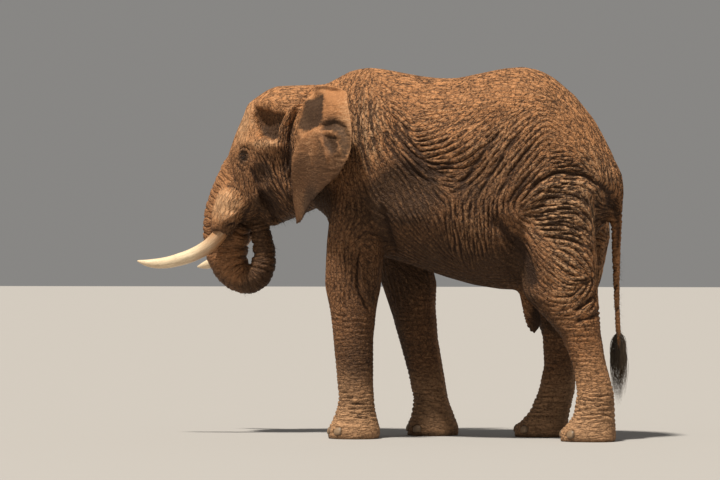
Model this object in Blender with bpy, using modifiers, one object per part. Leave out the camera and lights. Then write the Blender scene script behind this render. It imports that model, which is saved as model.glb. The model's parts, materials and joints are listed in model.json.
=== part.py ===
"""African bull elephant at life size, standing still with its trunk curled up to its mouth.

Metres, +Z up. The animal faces -Y, so its left side is +X, and it stands on the floor at Z = 0.
The body is lofted from named sections, joined into one form, shaped by swellings and hollows, and then
parted into head, jaw, neck, torso, trunk, legs, feet and tail by thin cuts. Ears, tusks, eyes, nails and
the lower lengths of the trunk are solids of their own that meet it.
"""

import math

import bmesh
import bpy
import numpy as np
from mathutils import Matrix, Vector
from mathutils.bvhtree import BVHTree

PARTS = "african_elephant"
GUIDES = "guides"

# ------------------------------------------------------------------ driving dimensions
SHOULDER = 3.23  # floor to the top of the withers
HEAD_TURN = math.radians(8)  # how far the face is turned to the animal's right
NECK_PIVOT = Vector((0, -1.15, 0))  # the head turns about a vertical line through here
SEAM = 0.0006  # the cut between neighbouring solids
EYE_RADIUS = 0.021
EYE_SUNK = 0.45  # how deep its middle lies under the skin, as a share of its radius
EAR_THICKNESS = 0.028
VOXEL = 0.022  # how finely the lofts are joined into one form
FLESH_TRIANGLES = 2500  # the joined form, before it is parted
SIDES = 40  # points round a section of the body, head or leg
TUBE_SIDES = 14  # points round a section of the trunk's lower lengths
TUSK_SIDES = 8
TUFT_SIDES = 10
BIG = 8.0  # larger than the animal, for cutters
UNDERGROUND = -1.0  # where upright cutters end

# ------------------------------------------------------------------ sections of the body
# Torso and neck, from behind the head to the rump: (y, top, underside, half width, height of the widest
# line as a share of the depth)
TORSO = (
    (-1.48, 2.98, 2.20, 0.27, 0.50),
    (-1.25, 3.06, 2.03, 0.35, 0.48),
    (-1.08, 3.105, 1.90, 0.42, 0.46),
    (-0.90, 3.195, 1.74, 0.49, 0.46),
    (-0.72, SHOULDER, 1.61, 0.55, 0.46),
    (-0.45, 3.185, 1.53, 0.60, 0.46),
    (-0.20, 3.14, 1.45, 0.645, 0.45),
    (0.05, 3.125, 1.37, 0.685, 0.44),
    (0.30, 3.17, 1.31, 0.70, 0.45),
    (0.55, 3.21, 1.285, 0.68, 0.47),
    (0.75, 3.20, 1.33, 0.64, 0.50),
    (0.95, 3.10, 1.46, 0.585, 0.52),
    (1.15, 2.91, 1.62, 0.50, 0.53),
    (1.30, 2.705, 1.78, 0.40, 0.54),
    (1.42, 2.475, 1.92, 0.28, 0.55),
    (1.50, 2.27, 2.02, 0.13, 0.55),
)

# Head above the trunk, in level slices: (z, front, back, half width, place of the widest line)
CRANIUM = (
    (3.085, -1.50, -1.20, 0.10, -1.35),
    (3.06, -1.645, -1.05, 0.22, -1.36),
    (3.00, -1.745, -1.00, 0.29, -1.38),
    (2.92, -1.83, -1.00, 0.335, -1.40),
    (2.82, -1.895, -1.00, 0.36, -1.42),
    (2.70, -1.96, -1.00, 0.37, -1.45),
    (2.58, -2.01, -1.00, 0.37, -1.50),
    (2.46, -2.055, -1.04, 0.365, -1.54),
    (2.34, -2.090, -1.10, 0.35, -1.58),
    (2.22, -2.137, -1.14, 0.33, -1.62),
    (2.10, -2.187, -1.25, 0.30, -1.70),
    (1.98, -2.250, -1.60, 0.265, -1.90),
    (1.86, -2.300, -1.86, 0.23, -2.06),
)

# Lower jaw: (y, top, underside, half width)
JAW = (
    (-1.18, 2.44, 2.02, 0.30),
    (-1.35, 2.38, 1.955, 0.295),
    (-1.48, 2.28, 1.905, 0.255),
    (-1.58, 2.15, 1.86, 0.20),
    (-1.65, 2.04, 1.83, 0.14),
    (-1.695, 1.98, 1.865, 0.085),
)

# Trunk, from inside the face round the curl to the tip: (y, z, half depth, half width)
TRUNK = (
    (-1.885, 2.350, 0.235, 0.220),
    (-2.020, 2.100, 0.230, 0.215),
    (-2.092, 1.900, 0.224, 0.205),
    (-2.104, 1.720, 0.216, 0.190),
    (-2.088, 1.570, 0.194, 0.175),
    (-2.026, 1.446, 0.164, 0.156),
    (-1.915, 1.377, 0.136, 0.140),
    (-1.805, 1.398, 0.125, 0.128),
    (-1.743, 1.490, 0.115, 0.118),
    (-1.730, 1.610, 0.108, 0.108),
    (-1.752, 1.735, 0.099, 0.099),
    (-1.772, 1.840, 0.090, 0.090),
    (-1.788, 1.930, 0.080, 0.082),
    (-1.795, 1.990, 0.068, 0.073),
    (-1.798, 2.022, 0.040, 0.045),
)
TRUNK_STEPS = 2  # sections between two rows of TRUNK
TRUNK_CUTS = (5, 7, 10, 14)  # the rows of TRUNK where one length ends and the next begins

# Sheath of skin round a tusk's root, on the left: (x, y, z, radius)
TUSK_SHEATH = (
    (0.13, -1.86, 2.30, 0.10),
    (0.19, -1.94, 2.12, 0.135),
    (0.225, -1.99, 1.96, 0.135),
    (0.25, -2.015, 1.83, 0.115),
    (0.262, -2.03, 1.765, 0.095),
)

# Tusk, on the left, from inside its sheath to the tip: (x, y, z, radius)
TUSK = (
    (0.245, -1.985, 1.860, 0.060),
    (0.265, -2.050, 1.750, 0.063),
    (0.290, -2.150, 1.657, 0.062),
    (0.320, -2.270, 1.590, 0.060),
    (0.350, -2.400, 1.545, 0.056),
    (0.375, -2.530, 1.518, 0.049),
    (0.400, -2.660, 1.515, 0.035),
    (0.420, -2.775, 1.536, 0.007),
)
RIGHT_TUSK_LENGTH = 0.80  # the right tusk is worn shorter: its length as a share of the left one's
RIGHT_TUSK_DROP = 0.03  # how much lower the right tusk hangs at its tip

# Leg girths: (z, half length, half width); the sole is cut flat at the floor
FORELEG = (
    (2.35, 0.17, 0.10),
    (2.05, 0.225, 0.16),
    (1.85, 0.245, 0.195),
    (1.60, 0.253, 0.205),
    (1.36, 0.250, 0.195),
    (1.26, 0.237, 0.188),
    (1.15, 0.211, 0.180),
    (1.02, 0.194, 0.172),
    (0.86, 0.178, 0.163),
    (0.53, 0.160, 0.150),
    (0.33, 0.158, 0.152),
    (0.20, 0.186, 0.172),
    (0.09, 0.226, 0.205),
    (0.03, 0.233, 0.213),
    (-0.05, 0.226, 0.206),
)
HINDLEG = (
    (2.35, 0.28, 0.15),
    (2.00, 0.335, 0.20),
    (1.75, 0.345, 0.222),
    (1.50, 0.345, 0.222),
    (1.24, 0.322, 0.210),
    (1.10, 0.262, 0.196),
    (0.99, 0.212, 0.182),
    (0.88, 0.173, 0.163),
    (0.74, 0.155, 0.147),
    (0.60, 0.147, 0.140),
    (0.41, 0.163, 0.145),
    (0.23, 0.181, 0.158),
    (0.14, 0.212, 0.174),
    (0.07, 0.244, 0.188),
    (0.02, 0.246, 0.190),
    (-0.05, 0.238, 0.184),
)

# Where each leg's middle line runs: (z, distance out from the middle plane, y)
FORELEG_LEFT = (
    (2.35, 0.33, -0.72),
    (1.85, 0.385, -0.735),
    (1.36, 0.370, -0.768),
    (0.86, 0.360, -0.770),
    (0.33, 0.360, -0.742),
    (-0.05, 0.360, -0.768),
)
FORELEG_RIGHT = (
    (2.35, 0.33, -0.71),
    (1.85, 0.385, -0.64),
    (1.36, 0.370, -0.475),
    (1.10, 0.365, -0.432),
    (0.86, 0.360, -0.387),
    (0.53, 0.360, -0.312),
    (0.33, 0.355, -0.270),
    (0.15, 0.355, -0.250),
    (-0.05, 0.355, -0.256),
)
HINDLEG_LEFT = (
    (2.35, 0.31, 0.98),
    (1.75, 0.375, 1.040),
    (1.50, 0.380, 1.050),
    (1.24, 0.372, 1.078),
    (1.10, 0.366, 1.148),
    (0.99, 0.360, 1.205),
    (0.88, 0.355, 1.255),
    (0.74, 0.350, 1.294),
    (0.60, 0.345, 1.334),
    (0.41, 0.340, 1.372),
    (0.23, 0.335, 1.362),
    (0.10, 0.335, 1.312),
    (-0.05, 0.335, 1.298),
)
HINDLEG_RIGHT = (
    (2.35, 0.31, 0.97),
    (1.75, 0.375, 1.000),
    (1.50, 0.380, 0.940),
    (1.24, 0.372, 0.890),
    (1.10, 0.366, 0.900),
    (0.99, 0.360, 0.912),
    (0.88, 0.355, 0.915),
    (0.74, 0.350, 0.908),
    (0.60, 0.345, 0.900),
    (0.41, 0.340, 0.875),
    (0.23, 0.335, 0.815),
    (0.10, 0.335, 0.745),
    (-0.05, 0.335, 0.725),
)

# Tail, its tuft and the prepuce, on the middle plane: (y, z, half depth, half width)
TAIL = (
    (1.36, 2.42, 0.085, 0.080),
    (1.460, 2.25, 0.080, 0.070),
    (1.482, 2.06, 0.068, 0.060),
    (1.480, 1.88, 0.060, 0.052),
    (1.478, 1.70, 0.048, 0.044),
    (1.478, 1.40, 0.036, 0.035),
    (1.486, 1.10, 0.028, 0.028),
    (1.500, 0.86, 0.025, 0.025),
)
TAIL_CUT = 4  # the row of TAIL where the root ends
TAIL_TUFT = (
    (1.500, 0.858, 0.028, 0.027),
    (1.508, 0.80, 0.066, 0.034),
    (1.512, 0.72, 0.094, 0.040),
    (1.512, 0.62, 0.086, 0.038),
    (1.514, 0.48, 0.058, 0.030),
    (1.516, 0.36, 0.022, 0.016),
    (1.517, 0.28, 0.007, 0.007),
)
PREPUCE = (
    (0.70, 1.36, 0.120, 0.085),
    (0.715, 1.22, 0.092, 0.074),
    (0.722, 1.09, 0.080, 0.066),
    (0.735, 0.98, 0.062, 0.052),
    (0.752, 0.90, 0.028, 0.026),
)

# Left ear. Its root runs down the side of the head: (distance out, y, z), top to bottom.
EAR_ROOT = (
    (0.20, -1.13, 2.99),
    (0.31, -1.20, 2.86),
    (0.335, -1.24, 2.60),
    (0.325, -1.27, 2.35),
    (0.28, -1.30, 2.06),
)
# Its margin, from the top round the back to the tip: (distance from the root, z)
EAR_MARGIN = (
    (0.24, 3.060),
    (0.55, 3.040),
    (0.82, 2.940),
    (0.965, 2.720),
    (1.000, 2.500),
    (0.960, 2.360),
    (0.840, 2.235),
    (0.670, 2.140),
    (0.480, 2.040),
    (0.320, 1.945),
    (0.180, 1.872),
    (0.070, 1.855),
)
EAR_OPENING = {"left": math.radians(36), "right": math.radians(33)}  # from straight back
EAR_CURL = (math.radians(34), math.radians(12))  # how much more openly than its chord, top and foot
EAR_ROWS, EAR_COLUMNS = 15, 8
EAR_WAVE = 0.02  # how far the margin waves in and out
EAR_WAVE_TURNS = 7.0  # radians of that wave for each metre of height

EYE_PLACE = (-1.775, 2.455)  # (y, z) in the head's own frame

# Swellings and hollows of the joined form, each on both sides where it is off the middle plane:
# (place, reach along each axis, height or, where negative, depth)
HEAD_FORMS = (
    ((0.37, -1.60, 2.76), (0.14, 0.17, 0.19), -0.060),  # hollow of the temple
    ((0.34, -1.90, 2.52), (0.12, 0.13, 0.09), 0.020),  # brow over the eye
    ((0.35, -1.765, 2.455), (0.10, 0.09, 0.08), -0.022),  # socket of the eye
    ((0.36, -1.52, 2.50), (0.12, 0.24, 0.08), 0.024),  # cheekbone
    ((0.30, -1.62, 2.20), (0.12, 0.11, 0.11), -0.030),  # hollow behind the corner of the mouth
    ((0.28, -1.36, 2.22), (0.14, 0.15, 0.20), 0.030),  # chewing muscle
    ((0.00, -2.10, 2.52), (0.16, 0.12, 0.16), -0.014),  # dip at the top of the trunk
    ((0.15, -1.85, 2.92), (0.16, 0.20, 0.14), 0.022),  # forehead bumps
)
BODY_FORMS = (
    ((0.52, -0.62, 2.55), (0.16, 0.14, 0.50), 0.030),  # ridge of the shoulder blade
    ((0.55, -0.36, 2.45), (0.16, 0.16, 0.45), -0.022),  # hollow behind it
    ((0.50, 0.46, 2.86), (0.22, 0.20, 0.20), 0.034),  # point of the hip
    ((0.66, 0.30, 2.30), (0.20, 0.24, 0.36), -0.026),  # hollow of the flank
    ((0.55, 1.05, 2.05), (0.24, 0.34, 0.36), 0.040),  # muscle of the thigh
    ((0.36, 1.38, 2.12), (0.16, 0.14, 0.22), 0.020),  # seat bone
    ((0.68, 0.02, 1.95), (0.24, 0.50, 0.36), 0.022),  # barrel of the ribs
    ((0.52, -0.86, 2.02), (0.20, 0.16, 0.24), 0.026),  # point of the shoulder
    ((0.14, -0.98, 1.88), (0.20, 0.20, 0.16), 0.022),  # breast
)

# Nails of one foot: (angle from straight ahead in degrees, half width)
FORE_NAILS = ((-64, 0.044), (-22, 0.053), (20, 0.053), (62, 0.044))
HIND_NAILS = ((-50, 0.043), (0, 0.050), (50, 0.043))
NAIL_RISE = 0.043
NAIL_DEPTH = 0.030
NAIL_LEVEL = 0.060
NAIL_PROUD = 0.011  # how far a nail stands out of the foot
NAILS = {"foreleg": FORE_NAILS, "hindleg": HIND_NAILS}

LEGS = {
    "foreleg_left": (FORELEG, FORELEG_LEFT),
    "foreleg_right": (FORELEG, FORELEG_RIGHT),
    "hindleg_left": (HINDLEG, HINDLEG_LEFT),
    "hindleg_right": (HINDLEG, HINDLEG_RIGHT),
}

# ------------------------------------------------------------------ where the flesh is parted
# A cut through the neck: (a point on it, the way it faces); the part ahead of it is on the near side.
HEAD_CUT = ((0, -1.235, 2.5), (0, 1, -0.12))
NECK_CUT = ((0, -1.015, 2.5), (0, 1, -0.125))
HEAD_SPAN = 0.7  # more than half the head's width
MOUTH_WALL = -1.80  # between the lower jaw and the trunk
JAW_CUT = ((0, -1.80, 1.905), (0, 0.66))  # a point, and its rise per metre across and along
TRUNK_ROOT_LEVEL = 1.93
LEG_CUTS = {
    "foreleg_left": ((0.40, -0.72, 1.74), (0.60, -0.30)),
    "foreleg_right": ((0.40, -0.62, 1.72), (0.60, -0.40)),
    "hindleg_left": ((0.42, 1.02, 1.47), (0.56, 0.76)),
    "hindleg_right": ((0.42, 0.95, 1.47), (0.56, 0.76)),
}
LEG_SPANS = {
    "foreleg_left": (-1.40, -0.40),
    "foreleg_right": (-1.40, -0.14),
    "hindleg_left": (0.45, 2.20),
    "hindleg_right": (0.45, 2.20),
}
LOWER_SPANS = {
    "foreleg_left": (-1.40, 0.30),
    "foreleg_right": (-1.40, 0.30),
    "hindleg_left": (0.35, 2.20),
    "hindleg_right": (0.35, 2.20),
}
LEG_INNER = 0.11  # how near the middle plane the cuts of a leg start
LEG_OUTER = 1.2  # and how far out they reach
KNEE = {"foreleg": 1.02, "hindleg": 0.90}
ANKLE = {"foreleg": 0.26, "hindleg": 0.25}
TAIL_WALL = 1.395  # ahead of this the tail's root is part of the torso
TAIL_ROOT_LEVEL = 1.96
PREPUCE_LEVEL = 1.235
PREPUCE_SPAN = (0.50, 0.98)
TIP_CLEARANCE = 0.004  # room round the trunk's tip where it meets the mouth

PALETTE = {
    "skin": ((0.34, 0.21, 0.135), 0.85),
    "ear_skin": ((0.30, 0.185, 0.12), 0.8),
    "nail": ((0.42, 0.33, 0.24), 0.6),
    "ivory": ((0.80, 0.68, 0.48), 0.35),
    "eye": ((0.05, 0.03, 0.02), 0.1),
    "hair": ((0.10, 0.09, 0.075), 0.7),
}


# ------------------------------------------------------------------ small tools
def clear_scene():
    for old in list(bpy.data.objects):
        bpy.data.objects.remove(old)


def new_collection(name):
    bpy.context.scene.collection.children.link(bpy.data.collections.new(name))


def finish_of(name):
    """The Principled material of one of the palette's entries, made once."""
    made = bpy.data.materials.get(name)
    if made is None:
        colour, roughness = PALETTE[name]
        made = bpy.data.materials.new(name)
        made.use_nodes = True
        shader = made.node_tree.nodes["Principled BSDF"]
        shader.inputs["Base Color"].default_value = (*colour, 1)
        shader.inputs["Roughness"].default_value = roughness
        made.diffuse_color = (*colour, 1)
    return made


def place_part(name, mesh, finish):
    bpy.data.collections[PARTS].objects.link(bpy.data.objects.new(name, mesh))
    mesh.materials.clear()
    mesh.materials.append(finish_of(finish))


def place_guide(mesh):
    """An object that only shapes others."""
    made = bpy.data.objects.new(mesh.name, mesh)
    bpy.data.collections[GUIDES].objects.link(made)
    made.hide_render = True
    made.display_type = "WIRE"
    return made


def evaluated_mesh(source):
    """The mesh of an object with its modifiers applied."""
    bpy.context.view_layer.update()
    graph = bpy.context.evaluated_depsgraph_get()
    return bpy.data.meshes.new_from_object(source.evaluated_get(graph))


def faired(rows, steps):
    """Rows of numbers with `steps` smooth steps between each pair of them (Catmull-Rom)."""
    table = np.array(rows, float)
    before = np.vstack([2 * table[0] - table[1], table[:-2]])
    after = np.vstack([table[2:], 2 * table[-1] - table[-2]])
    found = []
    for p0, p1, p2, p3 in zip(before, table[:-1], table[1:], after):
        for step in range(steps):
            t = step / steps
            square = (2 * p0 - 5 * p1 + 4 * p2 - p3) * t**2
            cube = (3 * p1 - p0 - 3 * p2 + p3) * t**3
            found.append(0.5 * (2 * p1 + (p2 - p0) * t + square + cube))
    found.append(table[-1])
    return np.array(found)


def rounded_section(count, half_width, rise, drop, power=2.0):
    """Points (across, along) round a closed section that rises and drops by different amounts."""
    found = []
    for i in range(count):
        angle = 2 * math.pi * i / count
        c, s = math.cos(angle), math.sin(angle)
        across = half_width * math.copysign(abs(c) ** (2 / power), c)
        along = (rise if s > 0 else drop) * math.copysign(abs(s) ** (2 / power), s)
        found.append((across, along))
    return found


def mesh_of(name, bm):
    made = bpy.data.meshes.new(name)
    bm.to_mesh(made)
    bm.free()
    return made


def loft(name, rings):
    """A closed mesh through rings of points, with a flat cap at each end."""
    bm = bmesh.new()
    rows = [[bm.verts.new(p) for p in ring] for ring in rings]
    count = len(rings[0])
    for lower, upper in zip(rows[:-1], rows[1:]):
        for i in range(count):
            bm.faces.new((lower[i], lower[(i + 1) % count], upper[(i + 1) % count], upper[i]))
    bm.faces.new(rows[0][::-1])
    bm.faces.new(rows[-1])
    bmesh.ops.recalc_face_normals(bm, faces=bm.faces)
    return mesh_of(name, bm)


def tube_rings(rows, sides):
    """Rings square to a path of rows (x, y, z, half depth, half width), the width running along X."""
    rows = np.array(rows, float)
    along = np.gradient(rows[:, :3], axis=0)
    rings = []
    for row, tangent in zip(rows, along):
        centre = Vector(row[:3])
        tangent = Vector(tangent).normalized()
        depth = tangent.cross(Vector((1, 0, 0))).normalized()
        across = depth.cross(tangent).normalized()
        section = rounded_section(sides, row[4], row[3], row[3])
        rings.append([centre + across * a + depth * b for a, b in section])
    return rings


def drawn_in(rings, first, last):
    """Rings with the first or the last one moved back by half a seam, for a solid that butts on another."""
    middles = [sum(ring, Vector()) / len(ring) for ring in rings]
    start = (middles[1] - middles[0]).normalized() * SEAM / 2 * first
    end = (middles[-2] - middles[-1]).normalized() * SEAM / 2 * last
    return [[p + start for p in rings[0]], *rings[1:-1], [p + end for p in rings[-1]]]


def on_middle(rows):
    """Rows (y, z, ...) of a part on the middle plane, with x = 0 put before them."""
    return [(0.0, *row) for row in rows]


def head_matrix():
    """Carries the head's own frame, in which it looks straight ahead, to where it is held."""
    turn = Matrix.Translation(NECK_PIVOT) @ Matrix.Rotation(-HEAD_TURN, 4, "Z")
    return turn @ Matrix.Translation(-NECK_PIVOT)


def with_head(mesh):
    mesh.transform(head_matrix())
    return mesh


def mirrored(mesh):
    """A left-hand mesh made into its right-hand fellow."""
    mesh.transform(Matrix.Scale(-1, 4, Vector((1, 0, 0))))
    mesh.flip_normals()
    return mesh


def grown(mesh, distance):
    """A copy of a closed mesh, grown outwards by a distance."""
    bm = bmesh.new()
    bm.from_mesh(mesh)
    bmesh.ops.recalc_face_normals(bm, faces=bm.faces)
    bm.normal_update()
    moved = [vert.co + vert.normal * distance * vert.calc_shell_factor() for vert in bm.verts]
    for vert, place in zip(bm.verts, moved):
        vert.co = place
    return mesh_of(mesh.name + "_grown", bm)


def joined(name, meshes):
    bm = bmesh.new()
    for mesh in meshes:
        bm.from_mesh(mesh)
    return mesh_of(name, bm)


def largest_body(mesh):
    """The mesh without the crumbs a cut may leave beside its main body."""
    bm = bmesh.new()
    bm.from_mesh(mesh)
    waiting = set(bm.verts)
    bodies = []
    while waiting:
        body = {waiting.pop()}
        front = list(body)
        while front:
            vert = front.pop()
            for edge in vert.link_edges:
                other = edge.other_vert(vert)
                if other not in body:
                    body.add(other)
                    front.append(other)
        waiting -= body
        bodies.append(body)
    keep = max(bodies, key=len)
    bmesh.ops.delete(bm, geom=[v for v in bm.verts if v not in keep], context="VERTS")
    return mesh_of(mesh.name, bm)


def cut_mesh(mesh, steps):
    """A mesh after Boolean steps, each ("INTERSECT" or "DIFFERENCE", cutter mesh)."""
    target = place_guide(mesh)
    for operation, cutter in steps:
        change = target.modifiers.new(operation.lower(), "BOOLEAN")
        change.object = place_guide(cutter)
        change.operation = operation
        change.solver = "EXACT"
    found = largest_body(evaluated_mesh(target))
    bpy.data.objects.remove(target)
    return found


def solid_box(name, corner, opposite):
    bm = bmesh.new()
    size = Vector(opposite) - Vector(corner)
    centre = (Vector(opposite) + Vector(corner)) / 2
    bmesh.ops.create_cube(bm, size=1, matrix=Matrix.Translation(centre) @ Matrix.Diagonal((*size, 1)))
    return mesh_of(name, bm)


def half_space(point, outward, gap, size=BIG):
    """A large box on the near side of a plane, grown past the plane by `gap`."""
    outward = Vector(outward).normalized()
    box = solid_box("side", (-size / 2, -size / 2, -size), (size / 2, size / 2, 0))
    turn = Vector((0, 0, 1)).rotation_difference(outward).to_matrix().to_4x4()
    box.transform(Matrix.Translation(Vector(point) + outward * gap) @ turn)
    return box


def under_slope(spans, point, slopes, gap, bottom=UNDERGROUND):
    """An upright block under a sloping plane, grown on every side by `gap`.

    `spans` are its two ends across and along; `slopes` are the plane's rise per metre across and along.
    """
    (left, right), (front, back) = spans
    block = solid_box("block", (left - gap, front - gap, bottom), (right + gap, back + gap, 0))
    lift = gap * math.sqrt(1 + slopes[0] ** 2 + slopes[1] ** 2)
    for vert in block.vertices:
        if vert.co.z > bottom / 2:
            rise = slopes[0] * (vert.co.x - point[0]) + slopes[1] * (vert.co.y - point[1])
            vert.co.z = point[2] + rise + lift
    return block


# ------------------------------------------------------------------ lofts of flesh
def torso_mesh():
    rings = []
    for y, top, underside, half_width, widest in faired(TORSO, 3):
        level = underside + widest * (top - underside)
        section = rounded_section(SIDES, half_width, top - level, level - underside, 2.1)
        rings.append([Vector((a, y, level + b)) for a, b in section])
    return loft("torso_form", rings)


def cranium_mesh():
    rings = []
    for z, front, back, half_width, widest in faired(CRANIUM, 2):
        section = rounded_section(SIDES, half_width, back - widest, widest - front, 2.1)
        rings.append([Vector((a, widest + b, z)) for a, b in section])
    return loft("cranium_form", rings)


def jaw_mesh():
    rings = []
    for y, top, underside, half_width in faired(JAW, 2):
        level, half = (top + underside) / 2, (top - underside) / 2
        section = rounded_section(SIDES, half_width, half, half, 2.2)
        rings.append([Vector((a, y, level + b)) for a, b in section])
    return loft("jaw_form", rings)


def leg_middle(leg, z):
    """Where the middle line of a leg stands at a height, as (x, y)."""
    line = np.array(LEGS[leg][1], float)[::-1]
    side = -1 if "right" in leg else 1
    x, y = (float(np.interp(z, line[:, 0], line[:, k])) for k in (1, 2))
    return side * x, y


def leg_mesh(leg):
    """One leg from level slices: a table of girths along a middle line."""
    rings = []
    for z, half_length, half_width in faired(LEGS[leg][0], 2):
        x, y = leg_middle(leg, z)
        section = rounded_section(SIDES, half_width, half_length, half_length, 2.2)
        rings.append([Vector((x + a, y + b, z)) for a, b in section])
    return loft(leg + "_form", rings)


def trunk_rings(sides):
    """The rings of the whole trunk in the head's own frame."""
    return tube_rings(faired(on_middle(TRUNK), TRUNK_STEPS), sides)


def face_trunk_mesh():
    end = (TRUNK_CUTS[0] + 1) * TRUNK_STEPS
    return loft("trunk_form", trunk_rings(SIDES)[: end + 1])


def trunk_length(name, start, end):
    """One of the trunk's lower lengths, between two rows of its table."""
    rings = trunk_rings(TUBE_SIDES)[start * TRUNK_STEPS : end * TRUNK_STEPS + 1]
    return loft(name, drawn_in(rings, 1, int(end < TRUNK_CUTS[-1])))


def sheath_mesh(side):
    rows = [(side * x, y, z, r, r) for x, y, z, r in faired(TUSK_SHEATH, 2)]
    return loft("sheath_form", tube_rings(rows, TUBE_SIDES))


def tail_rings():
    return tube_rings(faired(on_middle(TAIL), 2), TUBE_SIDES)


def tusk_mesh(side, share, drop):
    """A tusk that keeps `share` of the full path; its taper is drawn together to fit."""
    rows = faired(TUSK, 2)
    reach = np.concatenate([[0], np.cumsum(np.linalg.norm(np.diff(rows[:, :3], axis=0), axis=1))])
    reach /= reach[-1]
    kept = []
    for part in reach:
        x, y, z = (np.interp(part * share, reach, rows[:, k]) for k in range(3))
        kept.append((side * x, y, z - drop * part**2, np.interp(part, reach, rows[:, 3])))
    rings = tube_rings([(x, y, z, r, r) for x, y, z, r in kept], TUSK_SIDES)
    return with_head(loft("tusk", rings))


def joined_form():
    """Every loft of flesh as one closed mesh, smooth where they run together."""
    head = [cranium_mesh(), jaw_mesh(), face_trunk_mesh(), sheath_mesh(1), sheath_mesh(-1)]
    tail = loft("tail_form", tail_rings()[: (TAIL_CUT + 1) * 2])
    prepuce = loft("prepuce_form", tube_rings(faired(on_middle(PREPUCE), 3), TUBE_SIDES))
    body = [torso_mesh(), tail, prepuce] + [leg_mesh(leg) for leg in LEGS]
    form = place_guide(joined("flesh", [with_head(m) for m in head] + body))
    join = form.modifiers.new("join", "REMESH")
    join.mode = "VOXEL"
    join.voxel_size = VOXEL
    ease = form.modifiers.new("ease", "SMOOTH")
    ease.factor = 0.5
    ease.iterations = 6
    form.data = evaluated_mesh(form)
    form.modifiers.clear()
    return form


def shape_form(mesh):
    """Raises the swellings and sinks the hollows of the head and body."""
    points = np.array([v.co for v in mesh.vertices])
    normals = np.array([v.normal for v in mesh.vertices])
    back = np.array(head_matrix().inverted())
    in_head = points @ back[:3, :3].T + back[:3, 3]
    move = np.zeros(len(points))
    for frame, forms in ((in_head, HEAD_FORMS), (points, BODY_FORMS)):
        for place, reach, height in forms:
            for side in (1, -1) if place[0] else (1,):
                away = (frame - np.array(place) * (side, 1, 1)) / np.array(reach)
                near = np.clip(1 - (away**2).sum(axis=1), 0, 1)
                move += height * near**2
    points += normals * move[:, None]
    mesh.vertices.foreach_set("co", points.ravel())
    mesh.update()


def thin_form(form):
    """Leaves the joined form only as many triangles as its shape needs."""
    reduce = form.modifiers.new("thin", "DECIMATE")
    form.data.calc_loop_triangles()
    reduce.ratio = FLESH_TRIANGLES / len(form.data.loop_triangles)
    form.data = evaluated_mesh(form)
    form.modifiers.clear()


# ------------------------------------------------------------------ where the flesh is parted
def head_side(gap):
    """Everything ahead of the cut between head and neck."""
    return with_head(half_space(*HEAD_CUT, gap))


def neck_side(gap):
    """Everything ahead of the cut between neck and torso."""
    return half_space(*NECK_CUT, gap)


def jaw_block(gap):
    spans = ((-HEAD_SPAN, HEAD_SPAN), (MOUTH_WALL, NECK_PIVOT.y + HEAD_SPAN))
    return with_head(under_slope(spans, *JAW_CUT, gap))


def trunk_block(gap):
    spans = ((-HEAD_SPAN, HEAD_SPAN), (MOUTH_WALL - 2 * HEAD_SPAN, MOUTH_WALL))
    return with_head(under_slope(spans, (0, MOUTH_WALL, TRUNK_ROOT_LEVEL), (0, 0), gap))


def past_trunk_cut(gap):
    """The space beyond the first cut across the trunk."""
    rings = trunk_rings(TUBE_SIDES)
    here = TRUNK_CUTS[0] * TRUNK_STEPS
    middles = [sum(ring, Vector()) / len(ring) for ring in rings[here - 1 : here + 2]]
    return with_head(half_space(middles[1], middles[0] - middles[2], gap, HEAD_SPAN))


def side_span(side):
    """From beside the middle plane out past the legs, on one side."""
    return (LEG_INNER, LEG_OUTER) if side > 0 else (-LEG_OUTER, -LEG_INNER)


def leg_block(leg, gap):
    """The whole of a leg below the slope where it leaves the torso."""
    side = -1 if "right" in leg else 1
    (x, y, z), slopes = LEG_CUTS[leg]
    spans = (side_span(side), LEG_SPANS[leg])
    return under_slope(spans, (side * x, y, z), (side * slopes[0], slopes[1]), gap)


def leg_below(leg, level, gap):
    """The part of a leg below a level cut."""
    spans = (side_span(-1 if "right" in leg else 1), LOWER_SPANS[leg])
    return under_slope(spans, (0, 0, level), (0, 0), gap)


def tail_block(gap):
    spans = ((-LEG_INNER, LEG_INNER), (TAIL_WALL, TAIL_WALL + 1))
    return under_slope(spans, (0, TAIL[3][0], TAIL_ROOT_LEVEL), (0, 0.9), gap)


def prepuce_block(gap):
    spans = ((-LEG_INNER, LEG_INNER), PREPUCE_SPAN)
    return under_slope(spans, (0, 0, PREPUCE_LEVEL), (0, 0), gap)


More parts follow.
